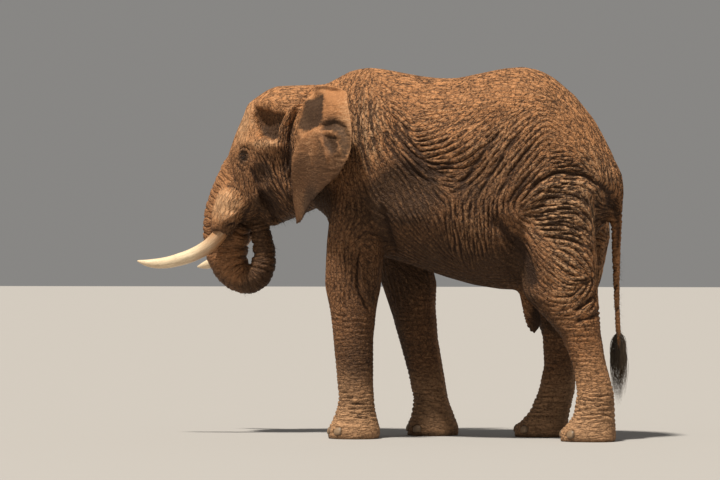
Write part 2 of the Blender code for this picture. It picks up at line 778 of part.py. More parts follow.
def part_flesh(flesh):
    """The joined form parted by thin cuts, as meshes by name."""
    half = SEAM / 2
    made = {}
    made["head"] = cut_mesh(
        flesh.copy(),
        [
            ("INTERSECT", head_side(-half)),
            ("DIFFERENCE", jaw_block(half)),
            ("DIFFERENCE", trunk_block(half)),
        ],
    )
    made["lower_jaw"] = cut_mesh(
        flesh.copy(), [("INTERSECT", head_side(-half)), ("INTERSECT", jaw_block(-half))]
    )
    made["trunk_root"] = cut_mesh(
        flesh.copy(), [("INTERSECT", trunk_block(-half)), ("DIFFERENCE", past_trunk_cut(half))]
    )
    made["neck"] = cut_mesh(
        flesh.copy(), [("INTERSECT", neck_side(-half)), ("DIFFERENCE", head_side(half))]
    )
    torso_steps = [("DIFFERENCE", neck_side(half))]
    for leg in LEGS:
        kind = leg.split("_")[0]
        torso_steps.append(("DIFFERENCE", leg_block(leg, half)))
        torso_steps.append(("DIFFERENCE", leg_below(leg, KNEE[kind], half)))
        made[leg + "_upper"] = cut_mesh(
            flesh.copy(),
            [("INTERSECT", leg_block(leg, -half)), ("DIFFERENCE", leg_below(leg, KNEE[kind], half))],
        )
        made[leg + "_lower"] = cut_mesh(
            flesh.copy(),
            [
                ("INTERSECT", leg_below(leg, KNEE[kind], -half)),
                ("DIFFERENCE", leg_below(leg, ANKLE[kind], half)),
            ],
        )
        made[leg + "_foot"] = cut_mesh(
            flesh.copy(), [("INTERSECT", leg_below(leg, ANKLE[kind], -half))]
        )
    torso_steps += [("DIFFERENCE", tail_block(half)), ("DIFFERENCE", prepuce_block(half))]
    made["torso"] = cut_mesh(flesh.copy(), torso_steps)
    tail_end = half_space((0, 0, TAIL[TAIL_CUT][1]), (0, 0, 1), half)
    made["tail_root"] = cut_mesh(
        flesh.copy(), [("INTERSECT", tail_block(-half)), ("DIFFERENCE", tail_end)]
    )
    made["prepuce"] = cut_mesh(flesh.copy(), [("INTERSECT", prepuce_block(-half))])
    return made


# ------------------------------------------------------------------ ears, eyes, nails
def ear_sheet(side):
    """The ear as a curved sheet: rows run from its root line out to its margin."""
    root = faired(EAR_ROOT, 6)
    margin = faired(EAR_MARGIN, 6)
    reach = np.concatenate([[0], np.cumsum(np.linalg.norm(np.diff(margin, axis=0), axis=1))])
    reach /= reach[-1]
    opening = EAR_OPENING["left" if side > 0 else "right"]
    furthest = margin[:, 0].max()
    bm = bmesh.new()
    rows = []
    for i in range(EAR_ROWS):
        share = i / (EAR_ROWS - 1)
        out, level = (np.interp(share, reach, margin[:, k]) for k in (0, 1))
        start = np.interp(share, np.linspace(0, 1, len(root)), root[:, 2])
        curl = EAR_CURL[0] + (EAR_CURL[1] - EAR_CURL[0]) * share
        row = []
        for j in range(EAR_COLUMNS):
            t = j / (EAR_COLUMNS - 1)
            z = start + (level - start) * t
            x, y = (np.interp(-z, -root[:, 2], root[:, k]) for k in (0, 1))
            run = out * t
            wave = EAR_WAVE * (run / furthest) * math.sin((z - 2.2) * EAR_WAVE_TURNS)
            angles = opening + curl * (1 - 2 * (np.arange(12) + 0.5) / 12 * run / furthest)
            x += float(np.sin(angles).mean()) * run + wave
            y += float(np.cos(angles).mean()) * run
            row.append(bm.verts.new((x, y, z)))
        rows.append(row)
    for upper, lower in zip(rows[:-1], rows[1:]):
        for j in range(EAR_COLUMNS - 1):
            bm.faces.new((upper[j], upper[j + 1], lower[j + 1], lower[j]))
    bmesh.ops.recalc_face_normals(bm, faces=bm.faces)
    sheet = place_guide(mesh_of("ear_sheet", bm))
    thicken = sheet.modifiers.new("thicken", "SOLIDIFY")
    thicken.thickness = EAR_THICKNESS
    thicken.offset = 0
    solid = evaluated_mesh(sheet)
    bpy.data.objects.remove(sheet)
    if side < 0:
        mirrored(solid)
    return with_head(solid)


def ball(radius, segments, rings):
    bm = bmesh.new()
    bmesh.ops.create_uvsphere(bm, u_segments=segments, v_segments=rings, radius=radius)
    return mesh_of("ball", bm)


def eye_mesh(side, flesh):
    """An eyeball that stands a little out of the flesh where a line from the side meets it."""
    start = head_matrix() @ Vector((side * 1.5, EYE_PLACE[0], EYE_PLACE[1]))
    inward = head_matrix().to_3x3() @ Vector((-side, 0, 0))
    tree = BVHTree.FromPolygons([v.co for v in flesh.vertices], [p.vertices for p in flesh.polygons])
    surface = tree.ray_cast(start, inward)[0]
    eye = ball(EYE_RADIUS, 12, 8)
    eye.transform(Matrix.Translation(surface + inward * EYE_SUNK * EYE_RADIUS))
    return eye


def nail_mesh(leg, angle, half_width):
    """A nail as a flattened ball set in the front of a foot, turned round it by an angle."""
    girths = np.array(LEGS[leg][0], float)[::-1]
    half_length, width = (float(np.interp(NAIL_LEVEL, girths[:, 0], girths[:, k])) for k in (1, 2))
    x, y = leg_middle(leg, NAIL_LEVEL)
    angle = math.radians(angle)
    c, s = math.sin(angle), -math.cos(angle)
    size = (abs(c / width) ** 2.2 + abs(s / half_length) ** 2.2) ** (-1 / 2.2)
    middle = Vector((x + c * size, y + s * size, NAIL_LEVEL))
    nail = ball(1.0, 8, 5)
    nail.transform(Matrix.Diagonal((half_width, NAIL_DEPTH, NAIL_RISE, 1)))
    nail.transform(Matrix.Rotation(angle, 4, "Z"))
    outward = Vector((c, s, 0))
    nail.transform(Matrix.Translation(middle + outward * (NAIL_PROUD - NAIL_DEPTH)))
    return nail


# ------------------------------------------------------------------ the whole animal
def build():
    made = {}
    form = joined_form()
    shape_form(form.data)
    thin_form(form)
    flesh = form.data

    tusks = {"left": tusk_mesh(1, 1, 0), "right": tusk_mesh(-1, RIGHT_TUSK_LENGTH, RIGHT_TUSK_DROP)}
    eyes = {"left": eye_mesh(1, flesh), "right": eye_mesh(-1, flesh)}
    tip = with_head(trunk_length("trunk_tip", TRUNK_CUTS[2], TRUNK_CUTS[3]))
    hollows = [grown(m, SEAM) for m in (*tusks.values(), *eyes.values())] + [grown(tip, TIP_CLEARANCE)]
    floor = half_space((0, 0, 0), (0, 0, 1), 0)
    flesh = cut_mesh(flesh.copy(), [("DIFFERENCE", floor), ("DIFFERENCE", joined("hollows", hollows))])

    for name, mesh in part_flesh(flesh).items():
        made[name] = (mesh, "skin")
    for name, start, end in (("trunk_middle", 0, 1), ("trunk_curl", 1, 2)):
        made[name] = (with_head(trunk_length(name, TRUNK_CUTS[start], TRUNK_CUTS[end])), "skin")
    made["trunk_tip"] = (tip, "skin")
    made["tail"] = (loft("tail", drawn_in(tail_rings()[TAIL_CUT * 2 :], 1, 1)), "skin")
    tuft = tube_rings(faired(on_middle(TAIL_TUFT), 2), TUFT_SIDES)
    made["tail_tuft"] = (loft("tail_tuft", drawn_in(tuft, 1, 0)), "hair")

    around = grown(flesh, SEAM)
    for side, sign in (("left", 1), ("right", -1)):
        ear = cut_mesh(ear_sheet(sign), [("DIFFERENCE", around.copy())])
        made["ear_" + side] = (ear, "ear_skin")
        made["tusk_" + side] = (tusks[side], "ivory")
        made["eye_" + side] = (eyes[side], "eye")

    for leg in LEGS:
        foot = grown(made[leg + "_foot"][0], SEAM)
        kind = leg.split("_")[0]
        for number, (angle, half_width) in enumerate(NAILS[kind], 1):
            nail = cut_mesh(nail_mesh(leg, angle, half_width), [("DIFFERENCE", foot.copy())])
            made[f"{leg}_nail_{number}"] = (nail, "nail")
    return made


def settle(made):
    """Puts every part in its place over the middle of the animal's box."""
    corners = np.array([v.co for mesh, _ in made.values() for v in mesh.vertices])
    middle = (corners.min(axis=0) + corners.max(axis=0)) / 2
    shift = Matrix.Translation((-middle[0], -middle[1], -corners[:, 2].min()))
    for name, (mesh, finish) in made.items():
        mesh.transform(shift)
        mesh.name = name
        place_part(name, mesh, finish)


def main():
    clear_scene()
    new_collection(GUIDES)
    new_collection(PARTS)
    made = build()
    for guide in list(bpy.data.collections[GUIDES].objects):
        bpy.data.objects.remove(guide)
    settle(made)


main()
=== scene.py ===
"""An African elephant bull standing still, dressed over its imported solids.

One skin replaces every solid of flesh; eyes, tusks and nails are pieces of their own, and hair is solid
mesh. Metres, +Z up. The animal faces -Y and its left side is +X. Tables of the head are given in the head's
own frame, in which it looks straight ahead; HEAD_TURN then carries them to where the head is held.
"""

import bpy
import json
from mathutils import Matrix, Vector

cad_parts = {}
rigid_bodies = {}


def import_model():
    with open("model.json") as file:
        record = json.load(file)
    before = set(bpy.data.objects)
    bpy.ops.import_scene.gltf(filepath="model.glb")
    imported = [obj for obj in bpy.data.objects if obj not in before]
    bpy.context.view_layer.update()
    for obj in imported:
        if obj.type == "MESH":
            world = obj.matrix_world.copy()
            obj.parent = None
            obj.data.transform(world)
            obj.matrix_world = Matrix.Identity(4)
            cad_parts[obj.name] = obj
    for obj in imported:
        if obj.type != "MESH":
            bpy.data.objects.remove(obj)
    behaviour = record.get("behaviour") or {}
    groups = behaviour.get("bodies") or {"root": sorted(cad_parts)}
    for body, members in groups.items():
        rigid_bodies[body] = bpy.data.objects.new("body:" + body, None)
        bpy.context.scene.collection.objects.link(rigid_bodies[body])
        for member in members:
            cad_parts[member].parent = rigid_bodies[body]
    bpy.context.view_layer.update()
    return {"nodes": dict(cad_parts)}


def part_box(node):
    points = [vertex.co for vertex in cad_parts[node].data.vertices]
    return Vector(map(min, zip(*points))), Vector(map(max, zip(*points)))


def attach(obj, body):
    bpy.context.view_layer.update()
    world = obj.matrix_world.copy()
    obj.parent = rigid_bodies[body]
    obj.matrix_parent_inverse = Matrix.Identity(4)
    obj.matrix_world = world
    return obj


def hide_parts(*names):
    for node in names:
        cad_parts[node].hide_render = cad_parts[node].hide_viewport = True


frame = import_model()

import contextlib
import itertools
import json
import math

import bpy
import numpy as np
from mathutils import Vector
from mathutils.bvhtree import BVHTree
from mathutils.kdtree import KDTree

bl_info = {
    "name": "African elephant",
    "version": (1, 0, 0),
    "blender": (4, 5, 0),
    "location": "3D View > Sidebar > Elephant",
    "description": "Dresses the packed solids of an elephant with skin, eyes, tusks, nails and hair",
    "category": "Object",
}

# ------------------------------------------------------------------ places and sizes of the animal
ORIGIN = np.array((-0.11603, 0.60885, 0.0))  # zero of the tables below, on the middle plane
HEAD_TURN = math.radians(8)  # how far the face is turned to the animal's right
NECK_PIVOT_Y = -1.15  # the head turns about an upright line through here
SIDES = {"left": 1, "right": -1}
LEGS = ("foreleg_left", "foreleg_right", "hindleg_left", "hindleg_right")
FLESH = ["head", "lower_jaw", "neck", "torso", "prepuce", "tail_root", "tail"]
FLESH += ["trunk_root", "trunk_middle", "trunk_curl", "trunk_tip", "ear_left", "ear_right"]
FLESH += [f"{leg}_{part}" for leg in LEGS for part in ("upper", "lower", "foot")]
THIN_FLESH = ("tail", "trunk_middle", "trunk_curl", "trunk_tip", "ear_left", "ear_right")

# Trunk, from inside the face round the curl to the tip: (y, z, radius)
TRUNK = (
    (-1.885, 2.350, 0.228),
    (-2.020, 2.100, 0.222),
    (-2.092, 1.900, 0.214),
    (-2.104, 1.720, 0.203),
    (-2.088, 1.570, 0.184),
    (-2.026, 1.446, 0.160),
    (-1.915, 1.377, 0.138),
    (-1.805, 1.398, 0.126),
    (-1.743, 1.490, 0.116),
    (-1.730, 1.610, 0.107),
    (-1.752, 1.735, 0.098),
    (-1.772, 1.840, 0.089),
    (-1.788, 1.930, 0.080),
    (-1.795, 1.990, 0.070),
    (-1.798, 2.022, 0.042),
)
TRUNK_TUBE_FROM = 4  # the row of TRUNK where the tube of its lower lengths starts

# Tail: (y, z, radius)
TAIL = (
    (1.480, 1.88, 0.054),
    (1.478, 1.70, 0.045),
    (1.478, 1.40, 0.034),
    (1.486, 1.10, 0.027),
    (1.500, 0.86, 0.024),
    (1.506, 0.78, 0.018),
)

# Left ear. Its root runs down the side of the head: (distance out, y, z), top to bottom.
EAR_ROOT = (
    (0.20, -1.13, 2.99),
    (0.31, -1.20, 2.86),
    (0.335, -1.24, 2.60),
    (0.325, -1.27, 2.35),
    (0.28, -1.30, 2.06),
)
# Its margin, from the top round the back to the tip: (distance from the root, z)
EAR_MARGIN = (
    (0.24, 3.060),
    (0.55, 3.040),
    (0.82, 2.940),
    (0.965, 2.720),
    (1.000, 2.500),
    (0.960, 2.360),
    (0.840, 2.235),
    (0.670, 2.140),
    (0.480, 2.040),
    (0.320, 1.945),
    (0.180, 1.872),
    (0.070, 1.855),
)
EAR_OPENING = {1: math.radians(36), -1: math.radians(33)}  # from straight back, by side
EAR_CURL = (math.radians(34), math.radians(12))  # how much more openly than its chord, top and foot
EAR_WAVE = 0.02  # how far the margin waves in and out
EAR_WAVE_TURNS = 7.0  # radians of that wave for each metre of height
EAR_FURTHEST = 1.0  # the margin's greatest distance from the root

# Tusk, on the left, from inside its sheath to the tip: (x, y, z, radius)
TUSK = (
    (0.245, -1.985, 1.860, 0.060),
    (0.265, -2.050, 1.750, 0.063),
    (0.290, -2.150, 1.657, 0.062),
    (0.320, -2.270, 1.590, 0.060),
    (0.350, -2.400, 1.545, 0.056),
    (0.375, -2.530, 1.518, 0.049),
    (0.400, -2.660, 1.515, 0.035),
    (0.420, -2.775, 1.536, 0.007),
)
TUSK_SHARE = {1: 1.0, -1: 0.80}  # the right tusk is worn shorter
TUSK_DROP = {1: 0.0, -1: 0.03}  # and hangs lower at its tip
TUSK_TIP = 0.0015  # radius of the tip
TUSK_WEAR = 0.0012  # how far wear moves its surface
TUSK_STEPS = 8  # steps from one row of TUSK to the next


# ------------------------------------------------------------------ settings a user would change
def colour_setting(name, description, default):
    return bpy.props.FloatVectorProperty(name=name, description=description, subtype="COLOR", default=default)


def size_setting(name, description, default, unit="LENGTH"):
    return bpy.props.FloatProperty(name=name, description=description, default=default, unit=unit)


def count_setting(name, description, default):
    return bpy.props.IntProperty(name=name, description=description, default=default)


class ElephantSkin(bpy.types.PropertyGroup):
    voxel: size_setting("Voxel", "How finely the skin is built", 0.0105)
    coat_depth: size_setting("Coat depth", "How far the skin lies inside the flesh", 0.002)
    triangles: count_setting("Triangles", "How many triangles the finished skin keeps", 196000)
    fold_depth: size_setting("Fold depth", "Share of their full depth that folds are pressed in", 1.0, "NONE")
    crease_spacing: size_setting("Crease spacing", "From one fine crease to the next", 0.034)
    crease_length: size_setting("Crease length", "How far a fine crease runs", 0.12)
    warm: colour_setting("Dust", "Red dust on the back and crown", (0.50, 0.222, 0.086))
    hide: colour_setting("Hide", "Skin of the flanks", (0.235, 0.105, 0.043))
    # darker hide underneath, also the colour of the painted shade on undersides, in hollows and in cast
    # shadows
    bare: colour_setting("Bare hide", "Dark skin underneath", (0.066, 0.032, 0.014))
    # painted shade: the colour laid in creases, gaps and hollows where shade falls
    dark: colour_setting("Creases", "Skin deep in the folds", (0.030, 0.014, 0.007))
    # dry earth on the feet, also the colour of the painted highlight on fold tops
    pale: colour_setting("Pale dust", "Dry earth on the feet", (0.60, 0.365, 0.200))


class ElephantEyes(bpy.types.PropertyGroup):
    iris: colour_setting("Iris", "Colour of the iris", (0.040, 0.017, 0.007))
    white: colour_setting("Eyeball", "Eyeball beside the iris", (0.06, 0.035, 0.022))


class ElephantTusks(bpy.types.PropertyGroup):
    ivory: colour_setting("Ivory", "Worn ivory", (0.80, 0.64, 0.43))
    stain: colour_setting("Stain", "Earth and sap near the root", (0.36, 0.165, 0.060))


class ElephantNails(bpy.types.PropertyGroup):
    horn: colour_setting("Horn", "Colour of the nails", (0.34, 0.215, 0.120))
    depth: size_setting("Depth", "From a nail's face to its middle", 0.030)
    rise: size_setting("Rise", "Half the height of a nail", 0.037)


class ElephantHair(bpy.types.PropertyGroup):
    tuft_strands: count_setting("Tuft strands", "Hairs of the tail tuft", 460)
    tuft_radius: size_setting("Tuft radius", "Radius of a tail hair at its root", 0.0015)
    bristles: count_setting("Bristles", "Sparse hairs on the skin", 1500)
    colour: colour_setting("Hair", "Colour of the tail hair", (0.042, 0.028, 0.018))
    lash: colour_setting("Lashes", "Colour of lashes and bristles", (0.020, 0.012, 0.007))
    ends: colour_setting("Hair ends", "Dusty ends of the tail hair", (0.150, 0.105, 0.062))


class ElephantStage(bpy.types.PropertyGroup):
    floor: colour_setting("Floor", "Colour of the floor", (0.36, 0.345, 0.33))
    sky: colour_setting("Surroundings", "Colour of the soft light", (0.82, 0.80, 0.77))
    lens: size_setting("Lens", "Focal length", 172.5, "CAMERA")
    distance: size_setting("Distance", "From the camera to the animal", 30.0)
    azimuth: size_setting("Azimuth", "Where the camera stands round it", math.radians(105), "ROTATION")


# ------------------------------------------------------------------ small tools
MERGE_DISTANCE = 1e-5  # points this close are one


def choose(*objects):
    """Leaves only these objects selected, the first of them active."""
    bpy.ops.object.select_all(action="DESELECT")
    for chosen in objects:
        chosen.select_set(True)
    bpy.context.view_layer.objects.active = objects[0]


@contextlib.contextmanager
def editing(piece, kind=None, chosen=None):
    """Edit mode on a piece, with all of it selected, or only the chosen vertices or faces."""
    choose(piece)
    bpy.ops.object.mode_set(mode="EDIT")
    if kind is None:
        bpy.ops.mesh.select_all(action="SELECT")
    else:
        bpy.ops.mesh.select_mode(type=kind)
        bpy.ops.mesh.select_all(action="DESELECT")
        bpy.ops.object.mode_set(mode="OBJECT")
        elements = piece.data.vertices if kind == "VERT" else piece.data.polygons
        elements.foreach_set("select", chosen)
        bpy.ops.object.mode_set(mode="EDIT")
    yield
    bpy.ops.object.mode_set(mode="OBJECT")


def points_of(mesh):
    found = np.empty(len(mesh.vertices) * 3, np.float32)
    mesh.vertices.foreach_get("co", found)
    return found.reshape(-1, 3).astype(float)


def normals_of(mesh):
    found = np.empty(len(mesh.vertices) * 3, np.float32)
    mesh.vertex_normals.foreach_get("vector", found)
    return found.reshape(-1, 3).astype(float)


def set_points(mesh, points):
    mesh.vertices.foreach_set("co", np.asarray(points, np.float32).ravel())
    mesh.update()


def apply_modifier(piece, kind, **settings):
    choose(piece)
    change = piece.modifiers.new(kind.lower(), kind)
    for name, value in settings.items():
        setattr(change, name, value)
    bpy.ops.object.modifier_apply(modifier=change.name)


def attribute(mesh, name, values):
    """Stores a number or a vector on every point."""
    kind, field = ("FLOAT_VECTOR", "vector") if values.ndim == 2 else ("FLOAT", "value")
    made = mesh.attributes.new(name, kind, "POINT")
    made.data.foreach_set(field, values.astype(np.float32).ravel())


def faired(rows, steps):
    """Rows of numbers with `steps` smooth steps between each pair of them (Catmull-Rom)."""
    table = np.array(rows, float)
    before = np.vstack([2 * table[0] - table[1], table[:-2]])
    after = np.vstack([table[2:], 2 * table[-1] - table[-2]])
    found = []
    for p0, p1, p2, p3 in zip(before, table[:-1], table[1:], after):
        for step in range(steps):
            t = step / steps
            square = (2 * p0 - 5 * p1 + 4 * p2 - p3) * t**2
            cube = (3 * p1 - p0 - 3 * p2 + p3) * t**3
            found.append(0.5 * (2 * p1 + (p2 - p0) * t + square + cube))
    found.append(table[-1])
    return np.array(found)


def lengths_along(places):
    """How far along a line each of its places is."""
    return np.concatenate([[0], np.cumsum(np.linalg.norm(np.diff(places, axis=0), axis=1))])


def turned(points, angle):
    """Points turned about the neck's upright line."""
    x, y = points[:, 0], points[:, 1] - NECK_PIVOT_Y
    c, s = math.cos(angle), math.sin(angle)
    return np.column_stack([c * x - s * y, s * x + c * y + NECK_PIVOT_Y, points[:, 2]])


def from_head(points):
    """Places of the head's own frame, in the row frame."""
    return turned(np.asarray(points, float), -HEAD_TURN) + ORIGIN


def to_head(points):
    """Places of the row frame, in the head's own frame."""
    return turned(np.asarray(points, float) - ORIGIN, HEAD_TURN)


def head_axes(side):
    """The ways straight out from one side of the head and straight ahead of it."""
    return from_head([(side, 0, 0), (0, -1, 0)]) - from_head([(0, 0, 0)])


def both_sides(places):
    """Places with those of the right side carried over to the left."""
    return np.column_stack([np.abs(places[:, 0]), places[:, 1:]])


def smooth(value, start, end):
    """0 before `start`, 1 after `end`, and a smooth rise between; start may be above end."""
    t = np.clip((value - start) / (end - start), 0, 1)
    return t * t * (3 - 2 * t)


def bump(points, place, reach):
    """1 at a place, falling smoothly to 0 at `reach` from it along each axis."""
    away = (points - np.array(place)) / np.array(reach)
    return np.clip(1 - (away**2).sum(axis=1), 0, 1) ** 2


def noise(points, seed=0):
    """Smooth lattice noise, one value from -1 to 1 for each point."""
    points = np.asarray(points, float)
    base = np.floor(points).astype(np.int64)
    part = points - base
    fade = part**3 * (part * (part * 6 - 15) + 10)
    total = np.zeros(len(points))
    for corner in itertools.product((0, 1), repeat=3):
        at = base + corner
        mix = (at[:, 0] * 73856093) ^ (at[:, 1] * 19349663) ^ (at[:, 2] * 83492791) ^ (seed * 2971215073)
        mix = ((mix ^ (mix >> 13)) * 1274126177) & 0xFFFFFFFF
        mix = ((mix ^ (mix >> 15)) * 2246822519) & 0xFFFFFFFF
        angle = (mix & 0xFFFF) * (2 * math.pi / 65536)
        rise = (mix >> 16) / 32768 - 1
        flat = np.sqrt(1 - rise**2)
        away = part - corner
        slope = flat * (np.cos(angle) * away[:, 0] + np.sin(angle) * away[:, 1]) + rise * away[:, 2]
        total += slope * np.prod(np.where(corner, fade, 1 - fade), axis=1)
    return np.clip(total * 1.7, -1, 1)


def neighbours(mesh):
    """The two vertices of every edge."""
    edges = np.empty(len(mesh.edges) * 2, np.int32)
    mesh.edges.foreach_get("vertices", edges)
    return edges.reshape(-1, 2)


def averaged(points, edges, degree):
    """For each vertex, the mean place of its neighbours."""
    found = np.empty_like(points)
    for axis in range(points.shape[1]):
        column = points[:, axis]
        total = np.bincount(edges[:, 0], column[edges[:, 1]], len(points))
        total += np.bincount(edges[:, 1], column[edges[:, 0]], len(points))
        found[:, axis] = total / degree
    return found


def eased(mesh, points, rounds, keep_volume=True):
    """Points smoothed over the mesh's edges."""
    edges = neighbours(mesh)
    degree = np.maximum(np.bincount(edges.ravel(), minlength=len(points)), 1)
    for _ in range(rounds):
        points = points + 0.5 * (averaged(points, edges, degree) - points)
        if keep_volume:
            points = points - 0.52 * (averaged(points, edges, degree) - points)
    return points


def tapered_path(name, places, radii, sides):
    """A closed tube of changing radius through points of the row frame."""
    bpy.ops.object.select_all(action="DESELECT")
    bpy.ops.curve.primitive_nurbs_path_add()
    tube = bpy.context.object
    tube.name = name
    line = tube.data
    line.splines.clear()
    spline = line.splines.new("POLY")
    spline.points.add(len(places) - 1)
    for point, place, radius in zip(spline.points, places, radii):
        point.co = (*place, 1)
        point.radius = radius
    line.bevel_depth = 1
    line.bevel_resolution = sides // 2 - 2
    line.use_fill_caps = True
    choose(tube)
    bpy.ops.object.convert(target="MESH")
    bpy.ops.object.transform_apply(location=True, rotation=True, scale=True)
    tube = bpy.context.object
    with editing(tube):
        bpy.ops.mesh.remove_doubles(threshold=MERGE_DISTANCE)
        bpy.ops.mesh.normals_make_consistent(inside=False)
    return tube


def ball(place, radius, segments, rings):
    """A new ball, with its place in its mesh."""
    bpy.ops.object.select_all(action="DESELECT")
    bpy.ops.mesh.primitive_uv_sphere_add(segments=segments, ring_count=rings, radius=radius, location=place)
    bpy.ops.object.transform_apply(location=True, rotation=True, scale=True)
    return bpy.context.object


def joined(name, pieces):
    """Several pieces as one."""
    choose(*pieces)
    bpy.ops.object.join()
    whole = bpy.context.object
    whole.name = name
    whole.data.name = name
    return whole


def finished(piece, slot, *nodes):
    """A finished piece rides on the body and stands for its solids; `slot` is not used."""
    bpy.context.view_layer.update()
    piece.data.update()
    for face in piece.data.polygons:
        face.use_smooth = True
    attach(piece, "root")
    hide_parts(*nodes)


# ------------------------------------------------------------------ materials
class Wire:
    """A socket of a material's nodes, so that shader maths reads as plain expressions."""

    def __init__(self, tree, socket):
        self.tree = tree
        self.socket = socket

    def maths(self, operation, *values):
        return Nodes(self.tree).add("ShaderNodeMath", {"operation": operation}, *values)

    def __add__(self, other):
        return self.maths("ADD", self, other)

    def __sub__(self, other):
        return self.maths("SUBTRACT", self, other)

    def __rsub__(self, other):
        return self.maths("SUBTRACT", other, self)

    def __mul__(self, other):
        return self.maths("MULTIPLY", self, other)

    def __abs__(self):
        return self.maths("ABSOLUTE", self)

    def clamped(self):
        return Nodes(self.tree).add("ShaderNodeClamp", {}, self)

    __radd__ = __add__
    __rmul__ = __mul__


class Nodes:
    """Adds nodes to one material."""

    def __init__(self, tree):
        self.tree = tree

    def add(self, kind, settings, *values, out=None, **named):
        """A node of a kind with its settings, and its sockets' values or links; gives one output."""
        node = self.tree.nodes.new(kind)
        for name, value in settings.items():
            setattr(node, name, value)
        sockets = [s for s in node.inputs if s.enabled]
        pairs = list(zip(sockets, values))
        for name, value in named.items():
            label = name.replace("_", " ")
            pairs.append((next(s for s in sockets if s.name == label), value))
        for socket, value in pairs:
            fill(socket, value)
        outputs = [s for s in node.outputs if s.enabled]
        chosen = outputs[0] if out is None else next(s for s in outputs if s.name == out)
        return Wire(self.tree, chosen)

    def noise(self, vector, scale, detail, roughness=0.5, out="Fac"):
        """Noise over the surface, with its middle at 0.5."""
        values = {"Vector": vector, "Scale": scale, "Detail": detail, "Roughness": roughness}
        return self.add("ShaderNodeTexNoise", {}, out=out, **values)

    def mixed(self, factor, first, second):
        """Two colours mixed."""
        return self.add("ShaderNodeMix", {"data_type": "RGBA"}, factor, first, second)

    def stepped(self, value, start, end):
        """0 below `start` and 1 above `end`, with a smooth rise."""
        settings = {"interpolation_type": "SMOOTHSTEP"}
        return self.add("ShaderNodeMapRange", settings, value, start, end, 0.0, 1.0)

    def attribute(self, name, out="Fac"):
        """A value stored on the piece's points."""
        return self.add("ShaderNodeAttribute", {"attribute_name": name}, out=out)

    def scaled(self, vector, factors):
        """A vector stretched along each axis."""
        return self.add("ShaderNodeVectorMath", {"operation": "MULTIPLY"}, vector, factors)


def new_material(name, colour):
    """A material with its Principled shader, ready for nodes."""
    made = bpy.data.materials.new(name)
    made.use_nodes = True
    made.diffuse_color = (*colour, 1)
    tree = made.node_tree
    return made, Nodes(tree), tree.nodes["Principled BSDF"]


def tinted(colour, factor):
    return tuple(factor * part for part in colour)


def fill(socket, value):
    """Links a value to a socket, or sets the socket to a number, a vector or a colour."""
    if isinstance(value, Wire):
        value.tree.links.new(value.socket, socket)
    elif socket.type == "RGBA" and len(value) == 3:
        socket.default_value = (*value, 1)
    else:
        socket.default_value = value


def feed(shader, **values):
    """Fills the shader's sockets."""
    for name, value in values.items():
        fill(shader.inputs[name.replace("_", " ")], value)


# ------------------------------------------------------------------ the skin's first shape
SEAM_OVERLAP = 0.0008  # closes the thin cuts between solids
COARSE_VOXEL = 0.024  # how finely the thick flesh is run together
FORM_ROUNDS = 14  # how often the thick flesh is smoothed, and then the whole skin
SKIN_ROUNDS = 3
TRUNK_STEPS = 6  # steps from one row of TRUNK to the next
TAIL_STEPS = 4
EAR_STEPS = 6
EAR_ARC_STEPS = 12  # steps along an ear's bend, from its root out
TUBE_SIDES = {"trunk": 40, "tail": 24, "tusk": 32}
EYE_MOUND = 1.16  # radius of the flesh round an eyeball, as a share of the eyeball's
EAR_GRID = (150, 84)  # faces down an ear's sheet, and out from its root
EAR_THICKNESS = 0.032
EAR_ROOT_DEPTH = 0.06  # share of its width that an ear reaches into the head
EAR_SPAN = np.array((2.4, 0.9))  # metres down an ear's margin, and out from its root
# Upper edge of the lobe that folds forward, as t and the share down the margin
EAR_LOBE = (
    (0.0, 0.07, 0.15, 0.31, 0.41, 0.53, 0.62, 0.68, 0.76, 0.86, 1.0),
    (0.74, 0.64, 0.57, 0.47, 0.435, 0.415, 0.42, 0.455, 0.50, 0.555, 0.62),
)
# Hollows of the ear: (share, t), reach and depth
EAR_HOLLOWS = (((0.29, 0.35), (0.18, 0.36), 0.040), ((0.475, 0.79), (0.050, 0.11), 0.018))
# The arch over the lobe's rear part, sunk in, with painted shadow along and under it, as (share, t)
EAR_ARCH = ((0.415, 0.60), (0.398, 0.70), (0.388, 0.80), (0.405, 0.89), (0.455, 0.945), (0.53, 0.975))
# Raised folds of the ear, below 0 where they sink in: width, height and (share, t) along them
EAR_RIDGES = (
    (0.036, -0.030, EAR_ARCH),
    (0.018, 0.014, ((0.44, 0.62), (0.430, 0.72), (0.434, 0.81), (0.455, 0.87))),
    (0.015, 0.014, ((0.455, 0.65), (0.50, 0.74), (0.56, 0.83))),
    (0.011, 0.010, ((0.46, 0.82), (0.485, 0.875), (0.515, 0.91))),
    (0.013, 0.009, ((0.545, 0.50), (0.56, 0.57), (0.605, 0.62))),
    (0.030, 0.008, ((0.10, 0.40), (0.16, 0.60), (0.26, 0.80), (0.36, 0.92))),
    (0.020, -0.010, ((0.14, 0.30), (0.20, 0.55), (0.30, 0.72), (0.35, 0.70))),
    (0.014, -0.006, ((0.12, 0.55), (0.20, 0.75), (0.30, 0.90))),
    (0.014, -0.006, ((0.20, 0.66), (0.27, 0.80), (0.36, 0.93))),
)
def node_copy(name):
    """A copy of a CAD node with its loose triangles merged."""
    piece = bpy.data.objects.new(name + "_copy", frame["nodes"][name].data.copy())
    bpy.context.scene.collection.objects.link(piece)
    with editing(piece):
        bpy.ops.mesh.remove_doubles(threshold=MERGE_DISTANCE)
        bpy.ops.transform.shrink_fatten(value=SEAM_OVERLAP)
    return piece


def remeshed(piece, voxel):
    apply_modifier(piece, "REMESH", mode="VOXEL", voxel_size=voxel)


def body_form():
    """The thick flesh as one smooth form."""
    body = joined("body_form", [node_copy(name) for name in FLESH if name not in THIN_FLESH])
    remeshed(body, COARSE_VOXEL)
    set_points(body.data, eased(body.data, points_of(body.data), FORM_ROUNDS))
    apply_modifier(body, "SUBSURF", levels=1, render_levels=1)
    return body


